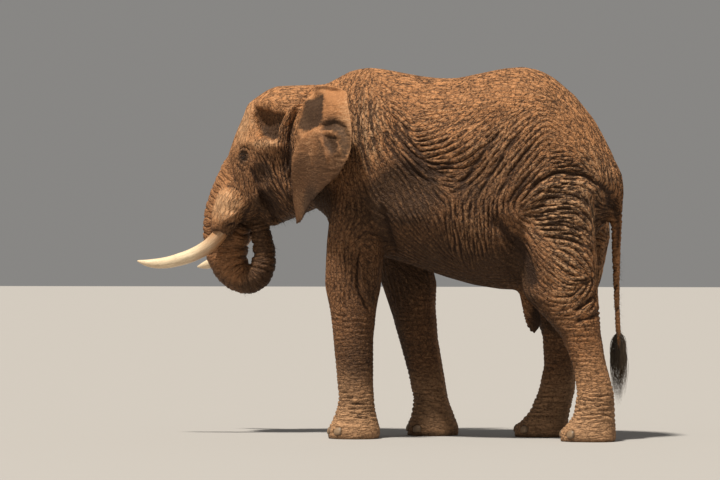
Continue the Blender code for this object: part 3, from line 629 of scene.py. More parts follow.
def trunk_path():
    """The trunk's middle line in the row frame, finely: (x, y, z, radius)."""
    rows = faired(TRUNK, TRUNK_STEPS)
    places = from_head(np.column_stack([np.zeros(len(rows)), rows[:, :2]]))
    return np.column_stack([places, rows[:, 2]])


def trunk_tube():
    path = trunk_path()[TRUNK_TUBE_FROM * TRUNK_STEPS :]
    return tapered_path("trunk_form", path[:, :3], path[:, 3], TUBE_SIDES["trunk"])


def tail_tube():
    rows = faired(TAIL, TAIL_STEPS)
    places = np.column_stack([np.zeros(len(rows)), rows[:, :2]]) + ORIGIN
    return tapered_path("tail_form", places, rows[:, 2], TUBE_SIDES["tail"])


def ear_places(side, share, t):
    """Points of the ear's sheet: `share` runs down its margin, `t` from its root out to the margin."""
    root = faired(EAR_ROOT, EAR_STEPS)
    margin = faired(EAR_MARGIN, EAR_STEPS)
    reach = lengths_along(margin)
    reach /= reach[-1]
    out, level = (np.interp(share, reach, margin[:, k]) for k in (0, 1))
    start = np.interp(share, np.linspace(0, 1, len(root)), root[:, 2])
    curl = EAR_CURL[0] + (EAR_CURL[1] - EAR_CURL[0]) * share
    z = start + (level - start) * t
    x, y = (np.interp(-z, -root[:, 2], root[:, k]) for k in (0, 1))
    run = out * t
    wave = EAR_WAVE * run / EAR_FURTHEST * np.sin((z - 2.2) * EAR_WAVE_TURNS)
    steps = (np.arange(EAR_ARC_STEPS) + 0.5) / EAR_ARC_STEPS
    angles = EAR_OPENING[side] + curl * (1 - 2 * steps[:, None] * run / EAR_FURTHEST)
    x = x + np.sin(angles).mean(axis=0) * run + wave
    y = y + np.cos(angles).mean(axis=0) * run
    return from_head(np.column_stack([side * x, y, z]))


def ear_surface(side, share, t):
    """Points of the ear's middle sheet with its relief."""
    step = 0.004
    down = ear_places(side, share + step, t) - ear_places(side, share - step, t)
    out = ear_places(side, share, t + step) - ear_places(side, share, t - step)
    facing = np.cross(down, out)
    facing /= np.linalg.norm(facing, axis=1)[:, None] + 1e-12
    facing *= np.sign(side * facing[:, :1])
    return ear_places(side, share, t) + facing * ear_relief(share, t, side)[:, None]


def ear_sheet(side):
    """The ear as a fine solid sheet, thick at the root and thin at the margin."""
    bpy.ops.object.select_all(action="DESELECT")
    bpy.ops.mesh.primitive_grid_add(x_subdivisions=EAR_GRID[0], y_subdivisions=EAR_GRID[1], size=1)
    ear = bpy.context.object
    flat = points_of(ear.data)
    share, t = flat[:, 0] + 0.5, flat[:, 1] + 0.5
    set_points(ear.data, ear_surface(side, share, t * (1 + EAR_ROOT_DEPTH) - EAR_ROOT_DEPTH))
    group = ear.vertex_groups.new(name="thickness")
    for vertex, weight in enumerate(1 - 0.5 * smooth(t, 0.0, 0.9) * smooth(share, 0.0, 0.2)):
        group.add([vertex], float(weight), "REPLACE")
    apply_modifier(ear, "SOLIDIFY", thickness=EAR_THICKNESS, offset=0, vertex_group="thickness")
    return ear


def ear_relief(share, t, side):
    """How far the ear's sheet stands out: its lobe, the pocket above it, veins and creases."""
    edge = np.interp(t, *EAR_LOBE)
    past = share - edge
    relief = 0.030 * smooth(past, -0.010, 0.016) * smooth(past, 0.40, 0.05)
    place = np.column_stack([share, t])
    for middle, reach, depth in EAR_HOLLOWS:
        away = np.hypot(*((place - middle) / np.array(reach)).T)
        relief -= depth * smooth(away, 1.0, 0.45)
        relief += 0.22 * depth * np.exp(-(((away - 1.08) / 0.16) ** 2))
    for width, height, path in EAR_RIDGES:
        relief += height * stroke(place * EAR_SPAN, np.array(path) * EAR_SPAN, width)
    veins = noise(np.column_stack([share * 34, t * 2.6, share * 0]), 3 + side)
    relief += 0.0030 * veins * smooth(t, 0.25, 0.6) * (1 - smooth(share, 0.45, 0.75))
    relief += 0.002 * noise(np.column_stack([share * 9, t * 4, share * 0]), 7)
    return relief * smooth(t, 0.0, 0.06)


def stroke(places, path, width):
    """1 along a path through flat places, falling to 0 at the sides and at both of its ends."""
    nearest = np.full(len(places), 9.0)
    at_nearest = np.zeros(len(places))
    for index, (start, end) in enumerate(zip(path[:-1], path[1:])):
        way = end - start
        part = np.clip((places - start) @ way / (way @ way), 0, 1)
        away = np.linalg.norm(places - start - part[:, None] * way, axis=1)
        closer = away < nearest
        nearest[closer] = away[closer]
        at_nearest[closer] = (part[closer] + index) / (len(path) - 1)
    ends = smooth(at_nearest, 0, 0.14) * smooth(at_nearest, 1, 0.86)
    return np.exp(-((nearest / width) ** 2)) * (0.15 + 0.85 * ends)


def eye_of(name):
    """Centre and radius of an eyeball, from its solid."""
    low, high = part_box(f"eye_{name}")
    return np.array((low + high) / 2), (high.z - low.z) / 2


def eye_mound(name):
    """A ball of flesh round an eye, for the lids."""
    centre, radius = eye_of(name)
    return ball(centre, radius * EYE_MOUND, 32, 24)


def first_shape(voxel):
    """All flesh as one closed skin, smooth where the parts run together."""
    parts = [body_form(), trunk_tube(), tail_tube()]
    parts += [ear_sheet(side) for side in SIDES.values()]
    parts += [eye_mound(name) for name in SIDES]
    skin = joined("skin", parts)
    remeshed(skin, voxel)
    points = eased(skin.data, points_of(skin.data), SKIN_ROUNDS)
    points[:, 2] = np.maximum(points[:, 2], 0)
    set_points(skin.data, points)
    drop_crumbs(skin)
    return skin


def drop_crumbs(skin):
    """Deletes what hangs loose beside the skin or inside it."""
    level = points_of(skin.data)[:, 2]
    with editing(skin, "VERT", np.arange(len(level)) == level.argmax()):
        bpy.ops.mesh.select_linked()
        bpy.ops.mesh.select_all(action="INVERT")
        bpy.ops.mesh.delete(type="VERT")


# ------------------------------------------------------------------ folds of the skin
# How folds run on the body, seen from its left: (y, z, slope in degrees, strength). Level is 0, upright
# is 90, and a slope of less than 90 rises towards the tail. The right side is the mirror of the left.
BODY_FOLDS = (
    # withers, neck and shoulder
    (-0.65, 3.14, 80, 0.6), (-0.65, 2.76, 95, 0.9), (-0.58, 2.59, 105, 1.1), (-0.42, 2.71, 125, 1.1),
    (-0.40, 2.26, 122, 1.1), (-0.47, 3.11, 140, 0.5), (-0.25, 3.06, 165, 0.5), (-0.20, 2.19, 125, 1.2),
    # drapes round the ribs
    (-0.24, 2.50, 135, 1.3), (-0.04, 2.33, 150, 1.4), (0.14, 2.24, 172, 1.4), (0.29, 2.27, 20, 1.3),
    (0.11, 2.40, 30, 1.3), (0.07, 2.54, 30, 1.3), (0.00, 2.71, 20, 1.0), (-0.07, 2.95, 170, 0.5),
    (0.34, 2.88, 15, 0.6), (0.25, 2.64, 32, 1.2), (0.41, 2.50, 48, 1.3),
    # loin
    (0.61, 2.54, 58, 1.2), (0.81, 2.67, 52, 0.9), (0.61, 2.29, 58, 1.4), (0.83, 2.33, 55, 1.3),
    (0.79, 2.15, 50, 1.3), (0.36, 2.15, 62, 1.3), (0.58, 2.93, 10, 0.5),
    # lower flank and belly
    (0.52, 2.01, 80, 1.2), (0.21, 1.80, 84, 1.1), (0.39, 1.75, 92, 1.2), (0.56, 1.80, 108, 1.1),
    (0.16, 1.61, 95, 1.0), (0.36, 1.49, 84, 0.8), (0.47, 1.40, 165, 0.5), (-0.29, 1.72, 122, 0.8),
    (-0.15, 1.60, 133, 0.9), (0.03, 1.47, 148, 0.8), (-0.25, 1.98, 112, 1.1), (-0.04, 1.89, 116, 1.0),
    (0.07, 2.05, 118, 1.1), (0.00, 2.15, 138, 1.2),
    # rump
    (0.97, 2.93, 5, 0.6), (1.15, 2.62, 160, 0.6), (1.38, 2.46, 125, 0.8), (1.55, 2.29, 105, 1.2),
    (1.24, 2.80, 140, 0.6),
    # haunch and thigh
    (0.97, 2.15, 38, 1.5), (1.12, 2.26, 18, 1.6), (1.28, 2.24, 170, 1.7), (1.40, 2.08, 140, 1.6),
    (1.13, 2.08, 10, 1.7), (1.01, 1.94, 12, 1.5), (1.30, 1.94, 160, 1.7), (1.12, 1.80, 172, 1.5),
    (1.33, 1.77, 155, 1.5), (1.15, 1.63, 160, 1.2), (1.33, 1.54, 150, 1.2), (1.06, 1.46, 140, 1.1),
    (0.70, 1.84, 135, 0.9), (0.85, 1.67, 128, 0.8), (0.79, 1.49, 120, 0.5), (0.97, 1.32, 125, 0.7),
    (1.39, 1.23, 38, 1.5), (1.15, 1.20, 20, 1.0),
    # shoulder down to the elbow
    (-0.65, 2.15, 112, 0.7), (-0.50, 2.29, 115, 0.8), (-0.74, 1.94, 80, 0.7), (-0.56, 1.93, 140, 0.7),
    (-0.76, 1.80, 68, 0.8), (-0.61, 1.82, 25, 0.9), (-0.49, 1.80, 150, 0.8), (-0.83, 1.63, 84, 0.8),
    (-0.72, 1.49, 98, 0.7), (-0.65, 1.20, 108, 0.7), (-0.52, 1.63, 160, 0.7), (-0.83, 1.28, 90, 0.6),
)
# The same on the head, in its own frame
HEAD_FOLDS = (
    (-1.49, 3.02, 0, 0.7), (-1.37, 2.93, 170, 0.7), (-1.55, 2.82, 85, 0.3), (-1.44, 2.80, 95, 0.5),
    (-1.76, 2.80, 100, 0.4), (-1.82, 2.64, 75, 0.4), (-1.66, 2.68, 60, 0.3), (-1.61, 2.50, 95, 0.8),
    (-1.49, 2.48, 90, 1.0), (-1.43, 2.42, 100, 0.9), (-1.42, 2.25, 118, 1.2), (-1.47, 2.14, 125, 1.2),
    (-1.37, 2.06, 115, 1.2), (-1.37, 2.31, 105, 1.1), (-1.58, 2.33, 120, 0.9), (-1.85, 2.36, 75, 0.7),
    (-1.93, 2.31, 60, 0.8), (-1.75, 2.25, 100, 0.9), (-1.82, 2.20, 95, 0.9), (-1.66, 2.18, 110, 0.9),
    (-1.67, 2.00, 130, 1.0), (-1.79, 2.02, 42, 1.2), (-1.82, 1.89, 40, 1.1), (-1.91, 2.09, 60, 0.12),
    (-1.95, 1.95, 70, 0.3), (-2.04, 2.03, 100, 0.5), (-1.49, 1.98, 110, 0.9), (-1.35, 1.98, 95, 0.9),
    (-1.36, 2.76, 65, 1.3), (-1.42, 2.58, 90, 1.2), (-1.32, 2.53, 95, 1.4), (-1.34, 2.31, 95, 1.4),
)
BODY_REACH = 0.17  # how far each of those rows is felt
HEAD_REACH = 0.11
FOLD_DEPTH = 0.0150
LEG_TOPS = {"foreleg": 1.95, "hindleg": 1.62}  # where a leg leaves the body
LEG_REACH = (0.40, 0.48)  # how far from its middle line a leg reaches: outwards, and fore and aft

# Single creases and ridges, seen from the side: width, depth (a ridge is below 0), (y, z) along them
BODY_STROKES = (
    # haunch: the great crease over the thigh and those under it
    (0.024, 0.026, ((0.81, 2.10), (0.95, 2.23), (1.13, 2.29), (1.30, 2.26), (1.46, 2.14), (1.52, 1.98))),
    (0.045, -0.018, ((0.84, 2.03), (0.97, 2.15), (1.13, 2.20), (1.28, 2.17), (1.42, 2.05))),
    (0.020, 0.011, ((0.88, 1.94), (1.00, 2.06), (1.15, 2.11), (1.29, 2.07), (1.42, 1.95))),
    (0.020, 0.010, ((0.86, 1.85), (1.00, 1.95), (1.16, 1.98), (1.30, 1.94), (1.42, 1.83))),
    (0.018, 0.009, ((0.92, 1.80), (1.05, 1.86), (1.18, 1.87), (1.32, 1.80), (1.42, 1.71))),
    (0.018, 0.008, ((1.00, 1.73), (1.14, 1.75), (1.28, 1.70), (1.42, 1.58))),
    # in front of the thigh, from flank to knee
    (0.060, 0.020, ((0.48, 1.93), (0.64, 1.80), (0.77, 1.62), (0.85, 1.42), (0.88, 1.28))),
    (0.060, -0.016, ((0.55, 2.02), (0.74, 1.89), (0.90, 1.71), (1.00, 1.50), (1.02, 1.35))),
    # behind the knee
    (0.018, 0.018, ((1.22, 1.10), (1.32, 1.17), (1.42, 1.26), (1.52, 1.36))),
    (0.016, 0.015, ((1.24, 1.02), (1.34, 1.05), (1.44, 1.09), (1.54, 1.16))),
    (0.014, 0.010, ((1.18, 1.22), (1.29, 1.30), (1.40, 1.40), (1.50, 1.50))),
    # round the elbow
    (0.013, 0.028, ((-0.65, 1.63), (-0.675, 1.50), (-0.68, 1.36), (-0.66, 1.24), (-0.60, 1.10))),
    (0.022, -0.026, ((-0.61, 1.62), (-0.635, 1.50), (-0.64, 1.36), (-0.62, 1.24), (-0.57, 1.14))),
    (0.010, 0.008, ((-0.71, 1.66), (-0.735, 1.50), (-0.73, 1.34), (-0.70, 1.20))),
    (0.009, 0.006, ((-0.77, 1.72), (-0.79, 1.56), (-0.785, 1.40), (-0.76, 1.26))),
    (0.009, 0.006, ((-0.575, 1.60), (-0.59, 1.46), (-0.585, 1.32), (-0.55, 1.18))),
    (0.012, 0.009, ((-0.69, 1.72), (-0.60, 1.79), (-0.50, 1.76), (-0.44, 1.66))),
    # great drapes behind the shoulder and under the ribs
    (0.022, 0.014, ((-0.40, 2.80), (-0.30, 2.60), (-0.15, 2.42), (0.02, 2.29), (0.20, 2.25))),
    (0.020, 0.012, ((-0.47, 2.66), (-0.38, 2.50), (-0.24, 2.36), (-0.06, 2.24), (0.12, 2.17))),
    (0.020, 0.012, ((-0.30, 2.76), (-0.20, 2.56), (-0.06, 2.40), (0.10, 2.32), (0.24, 2.36))),
    (0.024, 0.014, ((0.24, 2.10), (0.36, 2.30), (0.50, 2.50), (0.62, 2.66))),
    (0.022, 0.013, ((0.40, 2.06), (0.53, 2.26), (0.66, 2.46), (0.78, 2.64))),
    (0.020, 0.012, ((0.55, 2.04), (0.68, 2.22), (0.80, 2.40), (0.88, 2.52))),
    (0.020, 0.012, ((0.66, 2.00), (0.78, 2.14), (0.88, 2.28))),
    # where the foreleg leaves the belly, and the thigh's rear edge
    (0.030, 0.030, ((-0.46, 2.02), (-0.425, 1.86), (-0.415, 1.72), (-0.415, 1.58))),
    (0.045, 0.020, ((1.44, 2.12), (1.50, 1.96), (1.52, 1.78), (1.50, 1.60))),
    # neck behind the ear
    (0.020, 0.010, ((-0.70, 2.95), (-0.68, 2.70), (-0.62, 2.45), (-0.52, 2.22))),
    (0.018, 0.009, ((-0.60, 3.00), (-0.57, 2.75), (-0.50, 2.50), (-0.40, 2.30))),
)
HEAD_STROKES = (
    # raised edge under the temple, and short folds that hang over its upper edge
    (0.026, -0.010, ((-1.73, 2.92), (-1.7, 2.8), (-1.66, 2.7), (-1.6, 2.6), (-1.51, 2.555), (-1.4, 2.555))),
    (0.007, 0.004, ((-1.62, 2.96), (-1.61, 2.90), (-1.605, 2.84))),
    (0.007, 0.005, ((-1.54, 2.92), (-1.53, 2.85), (-1.515, 2.79))),
    (0.007, 0.004, ((-1.44, 2.90), (-1.435, 2.85), (-1.43, 2.81))),
    # rugged edge in front of the ear, and the gap behind it
    (0.030, -0.020, ((-1.22, 2.96), (-1.29, 2.86), (-1.36, 2.75), (-1.40, 2.64), (-1.40, 2.54))),
    (0.020, 0.030, ((-1.25, 2.87), (-1.3, 2.72), (-1.325, 2.54), (-1.33, 2.36), (-1.32, 2.2), (-1.31, 2.05))),
    (0.010, 0.012, ((-1.36, 2.50), (-1.375, 2.36), (-1.365, 2.22), (-1.35, 2.08))),
    # cheek
    (0.012, 0.012, ((-1.56, 2.42), (-1.52, 2.28), (-1.46, 2.16), (-1.38, 2.03))),
    (0.012, 0.012, ((-1.49, 2.42), (-1.46, 2.30), (-1.41, 2.18), (-1.35, 2.06))),
    (0.010, 0.008, ((-1.60, 2.34), (-1.56, 2.20), (-1.49, 2.08), (-1.42, 1.98))),
    (0.030, 0.014, ((-1.70, 2.38), (-1.66, 2.26), (-1.62, 2.16), (-1.60, 2.04))),
    # mouth and chin
    (0.034, 0.040, ((-1.66, 2.16), (-1.60, 2.08), (-1.575, 1.99), (-1.57, 1.90), (-1.57, 1.82))),
    (0.016, 0.012, ((-1.57, 2.10), (-1.50, 2.02), (-1.45, 1.93))),
    # folds over the tusk's sheath
    (0.012, 0.013, ((-1.70, 2.06), (-1.77, 1.97), (-1.86, 1.88), (-1.95, 1.81))),
    (0.014, -0.009, ((-1.73, 2.11), (-1.80, 2.02), (-1.89, 1.93), (-1.97, 1.87))),
    (0.010, 0.009, ((-1.66, 2.01), (-1.73, 1.93), (-1.82, 1.85), (-1.89, 1.80))),
    (0.010, 0.008, ((-1.99, 2.19), (-1.91, 2.20), (-1.83, 2.16), (-1.79, 2.08))),
    (0.005, 0.0025, ((-1.96, 2.10), (-1.955, 2.00), (-1.97, 1.90))),
    (0.005, 0.0025, ((-1.90, 2.11), (-1.89, 2.01), (-1.91, 1.92))),
    # under and before the eye
    (0.010, 0.008, ((-1.88, 2.46), (-1.86, 2.38), (-1.80, 2.33), (-1.72, 2.35))),
    (0.012, 0.007, ((-1.92, 2.42), (-1.90, 2.32), (-1.86, 2.22))),
    (0.008, 0.008, ((-1.84, 2.49), (-1.815, 2.52), (-1.775, 2.53), (-1.73, 2.52), (-1.70, 2.495))),
    (0.014, -0.006, ((-1.82, 2.485), (-1.78, 2.503), (-1.73, 2.49))),
    (0.005, 0.006, ((-1.822, 2.462), (-1.80, 2.485), (-1.772, 2.490), (-1.742, 2.482), (-1.724, 2.458))),
    (0.005, 0.005, ((-1.824, 2.442), (-1.80, 2.418), (-1.77, 2.41), (-1.738, 2.42), (-1.72, 2.445))),
    (0.006, 0.006, ((-1.84, 2.425), (-1.81, 2.39), (-1.77, 2.375), (-1.73, 2.385), (-1.70, 2.41))),
    (0.007, 0.007, ((-1.715, 2.52), (-1.69, 2.46), (-1.675, 2.40))),
    (0.007, 0.008, ((-1.67, 2.53), (-1.65, 2.46), (-1.625, 2.39))),
    (0.007, 0.008, ((-1.63, 2.50), (-1.605, 2.44), (-1.58, 2.38))),
    (0.007, 0.008, ((-1.58, 2.49), (-1.56, 2.43), (-1.54, 2.37))),
    (0.008, 0.008, ((-1.53, 2.48), (-1.515, 2.42), (-1.50, 2.36))),
    (0.008, 0.006, ((-1.86, 2.30), (-1.84, 2.20), (-1.80, 2.12))),
    (0.008, 0.006, ((-1.79, 2.29), (-1.78, 2.19), (-1.75, 2.10))),
)
# The hollow of the temple, seen from the side: its outline, and its depth at the heights given first
TEMPLE = (
    (-1.715, 2.905), (-1.700, 2.800), (-1.665, 2.715), (-1.610, 2.625), (-1.470, 2.580), (-1.400, 2.600),
    (-1.385, 2.700), (-1.335, 2.825), (-1.480, 2.838), (-1.600, 2.872),
)  # fmt: skip
TEMPLE_DEPTH = ((2.58, 2.66, 2.82, 2.90), (0.052, 0.060, 0.054, 0.040))
TEMPLE_DARK = ((2.60, 2.68, 2.76, 2.86), (1.00, 0.92, 0.62, 0.52))  # heights, and how much painted shade the hollow gets at them
# Larger forms of the head: (out, y, z), reach along each, and how far they stand out or sink in
HEAD_FORMS = (
    ((0.36, -1.52, 2.93), (0.20, 0.22, 0.07), 0.012),  # edge of the crown over the temple
    ((0.36, -1.66, 2.575), (0.16, 0.24, 0.07), 0.022),  # brow and cheekbone
    ((0.36, -1.45, 2.535), (0.16, 0.16, 0.055), 0.030),
    ((0.33, -1.60, 2.29), (0.20, 0.12, 0.13), -0.030),  # cheek
    ((0.30, -1.59, 2.00), (0.25, 0.07, 0.17), -0.030),  # corner of the mouth
    ((0.30, -1.43, 2.12), (0.25, 0.13, 0.22), 0.012),
    ((0.27, -1.93, 2.02), (0.20, 0.13, 0.17), 0.016),  # sheath of the tusk
    ((0.29, -1.93, 1.90), (0.20, 0.12, 0.10), 0.036),
    ((0.20, -2.05, 1.86), (0.20, 0.10, 0.10), 0.012),
    ((0.25, -1.82, 2.24), (0.20, 0.10, 0.10), -0.012),
)

GROIN = ((0.0, 0.88, 1.02), (0.24, 0.22, 0.34))  # middle and reach of the darkening there
PREPUCE_END = ((0.0, 0.90, 0.99), (0.20, 0.20, 0.16))  # middle and reach of its fuller end
PREPUCE_FULLER = 0.055
# Larger forms of the body: (out, y, z), reach along each, and how far they stand out or sink in
BODY_FORMS = (
    ((0.7, -0.22, 2.16), (0.7, 0.38, 0.28), -0.058),  # behind the shoulder
    ((0.7, 0.44, 2.22), (0.7, 0.24, 0.30), -0.030),  # hollow of the flank
    ((0.7, 0.20, 2.55), (0.7, 0.40, 0.25), 0.020),  # ribs
    ((0.7, 0.45, 1.72), (0.7, 0.40, 0.30), 0.015),
    ((0.6, 0.74, 1.46), (0.6, 0.20, 0.32), -0.035),  # in front of the thigh
    ((0.6, 1.16, 2.00), (0.6, 0.34, 0.30), 0.026),  # haunch
    ((0.6, 1.20, 1.42), (0.6, 0.26, 0.30), 0.012),
    ((0.6, -0.55, 1.38), (0.6, 0.14, 0.28), 0.018),  # elbow
    ((0.6, -0.62, 2.60), (0.6, 0.20, 0.40), -0.012),
)

# Rings of the trunk: how many in each stretch of it, depth, width, share that only its front has
TRUNK_RINGS = (
    ((0.0, 7.2, 6.4, 12.0, 11.0), 0.026, 0.75, 0.80),
    ((0.0, 16.0, 15.0, 27.0, 26.0), 0.013, 0.62, 0.15),
)
TRUNK_STRETCHES = (0.0, 0.9, 1.6, 2.6, 3.4)  # metres along the trunk where those stretches end
TAIL_PLACE = 1.482  # how far back the tail hangs
LID_TURN, LID_RISE, LID_DROP = 76, 50, 42  # degrees: half the eye's opening, its height and its depth
LID_HEIGHT = 1.07  # how far a lid stands out, as a share of the eyeball's radius
LID_FOLDS = ((7, 5, 0.0020), (22, 6, -0.0026))  # degrees from the opening, width and height
EYE_SOCKET = ((0.30, -1.775, 2.455), (0.30, 0.13, 0.12))  # middle and reach of the calmer skin round an eye
EYE_SHADOW = (-1.775, 2.452)  # middle of the painted shadow at the lids
CUTICLE_HEIGHT = 0.007  # how far the skin round a nail stands out
NAIL_WIDER = 1.35  # how much wider a nail is than its solid, which lies under it
NAIL_FOOT = 0.012  # how far a nail's lower edge stands off the ground
NAIL_CORNERS = (2.3, 5.0)  # how square its upper and lower corners are; 2 is round
GRAIN_SLOPES = (0, 36, 72, 108, 144)  # fine creases are laid in these slopes, and across the body
GROWING_ROUNDS = 9  # how often the waves of the folds are spread and sharpened
# Every random draw starts from one of these
SEEDS = {"folds": 5, "hair": 3, "tuft": 11, "lashes": 23, "bristles": 37}


def unit(ways):
    """Ways made one metre long."""
    return ways / (np.linalg.norm(ways, axis=-1, keepdims=True) + 1e-12)


class Lie:
    """Which way folds run at each point, gathered from many leads."""

    def __init__(self, normals):
        rough = np.where(np.abs(normals[:, :1]) < 0.6, (1.0, 0.0, 0.0), (0.0, 0.0, 1.0))
        self.first = unit(np.cross(normals, rough))
        self.second = np.cross(normals, self.first)
        self.total = np.zeros(len(normals), complex)
        self.weight = np.full(len(normals), 1e-6)
        self.force = np.zeros(len(normals))

    def lead(self, share, way, force):
        near = np.flatnonzero(share > 1e-4)
        way = np.broadcast_to(way, self.first.shape)[near]
        part = (way * self.first[near]).sum(axis=1) + 1j * (way * self.second[near]).sum(axis=1)
        self.total[near] += share[near] * part**2
        self.weight[near] += share[near]
        self.force[near] += (share * force)[near]

    def way(self):
        half = np.sqrt(self.total)
        return unit(self.first * half.real[:, None] + self.second * half.imag[:, None])

    def strength(self):
        return self.force / self.weight


def leg_share(body):
    """How far every point is on a leg."""
    total = 0
    z = body[:, 2]
    for leg in LEGS:
        kind, name = leg.split("_")
        levels, middles = [], []
        for part in ("foot", "lower", "upper"):
            low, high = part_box(f"{leg}_{part}")
            levels.append((low.z + high.z) / 2)
            middles.append(((low.x + high.x) / 2 - ORIGIN[0], (low.y + high.y) / 2 - ORIGIN[1]))
        middles = np.array(middles)
        across = body[:, 0] - np.interp(z, levels, middles[:, 0])
        along = body[:, 1] - np.interp(z, levels, middles[:, 1])
        share = smooth(np.hypot(across / LEG_REACH[0], along / LEG_REACH[1]), 1.0, 0.8)
        share = share * smooth(SIDES[name] * body[:, 0], 0.02, 0.06)
        total = total + share * smooth(z, LEG_TOPS[kind] + 0.12, LEG_TOPS[kind] - 0.25)
    return np.clip(total, 0, 1)


def trunk_frame(points):
    """(share, metres along, outward, way along) of every point on the trunk and the front of the face."""
    path = trunk_path()
    reach = lengths_along(path[:, :3])
    ways = np.gradient(path[:, :3], axis=0)
    along = ways / np.linalg.norm(ways, axis=1)[:, None]
    side = head_axes(1)[0]
    out = np.cross(side, along)
    share, run, outward = (np.zeros(len(points)) for _ in range(3))
    way = np.zeros_like(points)
    low = path[:, :3].min(axis=0) - 0.3
    high = path[:, :3].max(axis=0) + 0.3
    near = np.flatnonzero(((points > low) & (points < high)).all(axis=1))
    at = points[near]
    away = at[:, None, :] - path[None, :, :3]
    distance = np.linalg.norm(away, axis=2)
    best = (distance / path[None, :, 3]).argmin(axis=1)
    gap = at - path[best, :3]
    run[near] = reach[best] + (gap * along[best]).sum(axis=1)
    outward[near] = (gap * out[best]).sum(axis=1)
    ratio = np.hypot(gap @ side, outward[near]) / path[best, 3]
    share[near] = smooth(ratio, 1.35, 1.12)
    way[near] = unit(ways)[best]
    return share, run, outward, way


def ear_frame(points):
    """Share of every point in an ear, and its place there: down the margin, and out from the root."""
    share = np.zeros(len(points))
    place = np.zeros((len(points), 2))
    grid = np.array([(i / 60, j / 44) for i in range(61) for j in range(45)])
    for name, side in SIDES.items():
        low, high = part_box(f"ear_{name}")
        near = np.flatnonzero(
            ((points > np.array(low) - 0.03) & (points < np.array(high) + 0.03)).all(axis=1)
        )
        tree = tree_of(ear_surface(side, grid[:, 0], grid[:, 1]))
        found = [tree.find(point) for point in points[near]]
        gap = np.array([item[2] for item in found])
        place[near] = grid[[item[1] for item in found]]
        share[near] = smooth(gap, 0.045, 0.028) * smooth(place[near, 1], 0.02, 0.12)
    return share, place


def regions_of(points):
    """Shares of every point in the parts of the animal, and its places in their frames."""
    body, head = points - ORIGIN, to_head(points)
    trunk, run, outward, trunk_way = trunk_frame(points)
    ear, ear_place = ear_frame(points)
    on_head = smooth(head[:, 1], -1.10, -1.28) * (1 - ear)
    trunk = trunk * on_head * smooth(body[:, 2] + 0.9 * (head[:, 1] + 1.9), 2.42, 2.12)
    from_tail = np.hypot(body[:, 0], body[:, 1] - TAIL_PLACE)
    on_tail = smooth(from_tail, 0.10, 0.07) * smooth(body[:, 2], 1.98, 1.80)
    beside = smooth(np.abs(head[:, 0]), 0.10, 0.20)
    temple = on_head * beside * smooth(within(head[:, 1:], TEMPLE), -0.004, 0.030)
    return {
        "body": body, "head": head, "on_head": on_head, "temple": temple, "ear": ear, "ear_place": ear_place,
        "trunk": trunk, "run": run, "outward": outward, "trunk_way": trunk_way, "tail": on_tail,
        "leg": leg_share(body),
    }  # fmt: skip


def lie_of(points, normals, where):
    """The run of the folds and their strength over the whole skin."""
    lie = Lie(normals)
    body, head, z = where["body"], where["head"], where["body"][:, 2]
    plain = (1 - where["on_head"]) * (1 - where["ear"]) + 1e-5
    lie.lead(np.full(len(points), 0.03), (1.0, 0.0, 0.0), 0.5)
    for rows, at, reach, share in (
        (BODY_FOLDS, body, BODY_REACH, plain),
        (HEAD_FOLDS, head, HEAD_REACH, where["on_head"] * (1 - where["trunk"])),
    ):
        for y, level, slope, force in rows:
            away = ((at[:, 1] - y) ** 2 + (z - level) ** 2) / reach**2
            way = (0.0, math.cos(math.radians(slope)), math.sin(math.radians(slope)))
            lie.lead(share * np.exp(-np.minimum(away, 12)), way, force)
    rings = unit(np.cross(normals, (0.0, 0.0, 1.0)))
    ankle = smooth(z, 0.46, 0.34) * smooth(z, 0.10, 0.20)
    low = where["leg"] * smooth(z + 0.10 * noise(points / 0.25, 43), 1.32, 0.76) ** 2
    lie.lead(3 * low, rings, 0.32 + 0.40 * ankle)
    lie.lead(6 * where["tail"], rings, np.full(len(z), 0.28))
    lie.lead(6 * where["trunk"], unit(np.cross(normals, where["trunk_way"])), np.full(len(z), 0.42))
    out = np.zeros_like(points)
    for side in SIDES.values():
        on = (where["ear"] > 0.01) & (body[:, 0] * side > 0)
        share, t = where["ear_place"][on].T
        out[on] = unit(ear_places(side, share, t + 0.04) - ear_places(side, share, t - 0.04))
    lie.lead(9 * where["ear"], out, np.full(len(z), 0.22))
    return lie


def grown_folds(mesh, points, way):
    """Waves grown over the skin that run along `way`, join and part: about -2 to 2 at each point."""
    corners = np.array([tuple(face.vertices) for face in mesh.polygons if len(face.vertices) == 4])
    pairs = np.vstack([corners[:, list(ends)] for ends in itertools.combinations(range(4), 2)])
    pairs = np.vstack([pairs, pairs[:, ::-1], neighbours(mesh), neighbours(mesh)[:, ::-1]])
    start, end = pairs.T
    gap = points[end] - points[start]
    length = (gap**2).sum(axis=1)
    aside = 1 - (gap * way[start]).sum(axis=1) ** 2 / (length + 1e-12)
    narrow = np.exp(-6.0 * np.clip(aside, 0, 1))
    even = np.ones(len(narrow))
    count = len(points)

    def spread(value, weight, rounds):
        total = np.bincount(start, weight, count) + 1.0
        for _ in range(rounds):
            value = (np.bincount(start, weight * value[end], count) + value) / total
        return value

    wave = np.random.default_rng(SEEDS["folds"]).uniform(-1, 1, count)
    for _ in range(GROWING_ROUNDS):
        wave = spread(wave, narrow, 6)
        wave -= spread(wave, even, 4)
        wave /= wave.std()
        wave = np.tanh(1.8 * wave + 0.15)
    wave = spread(wave, narrow, 2)
    return wave / wave.std()


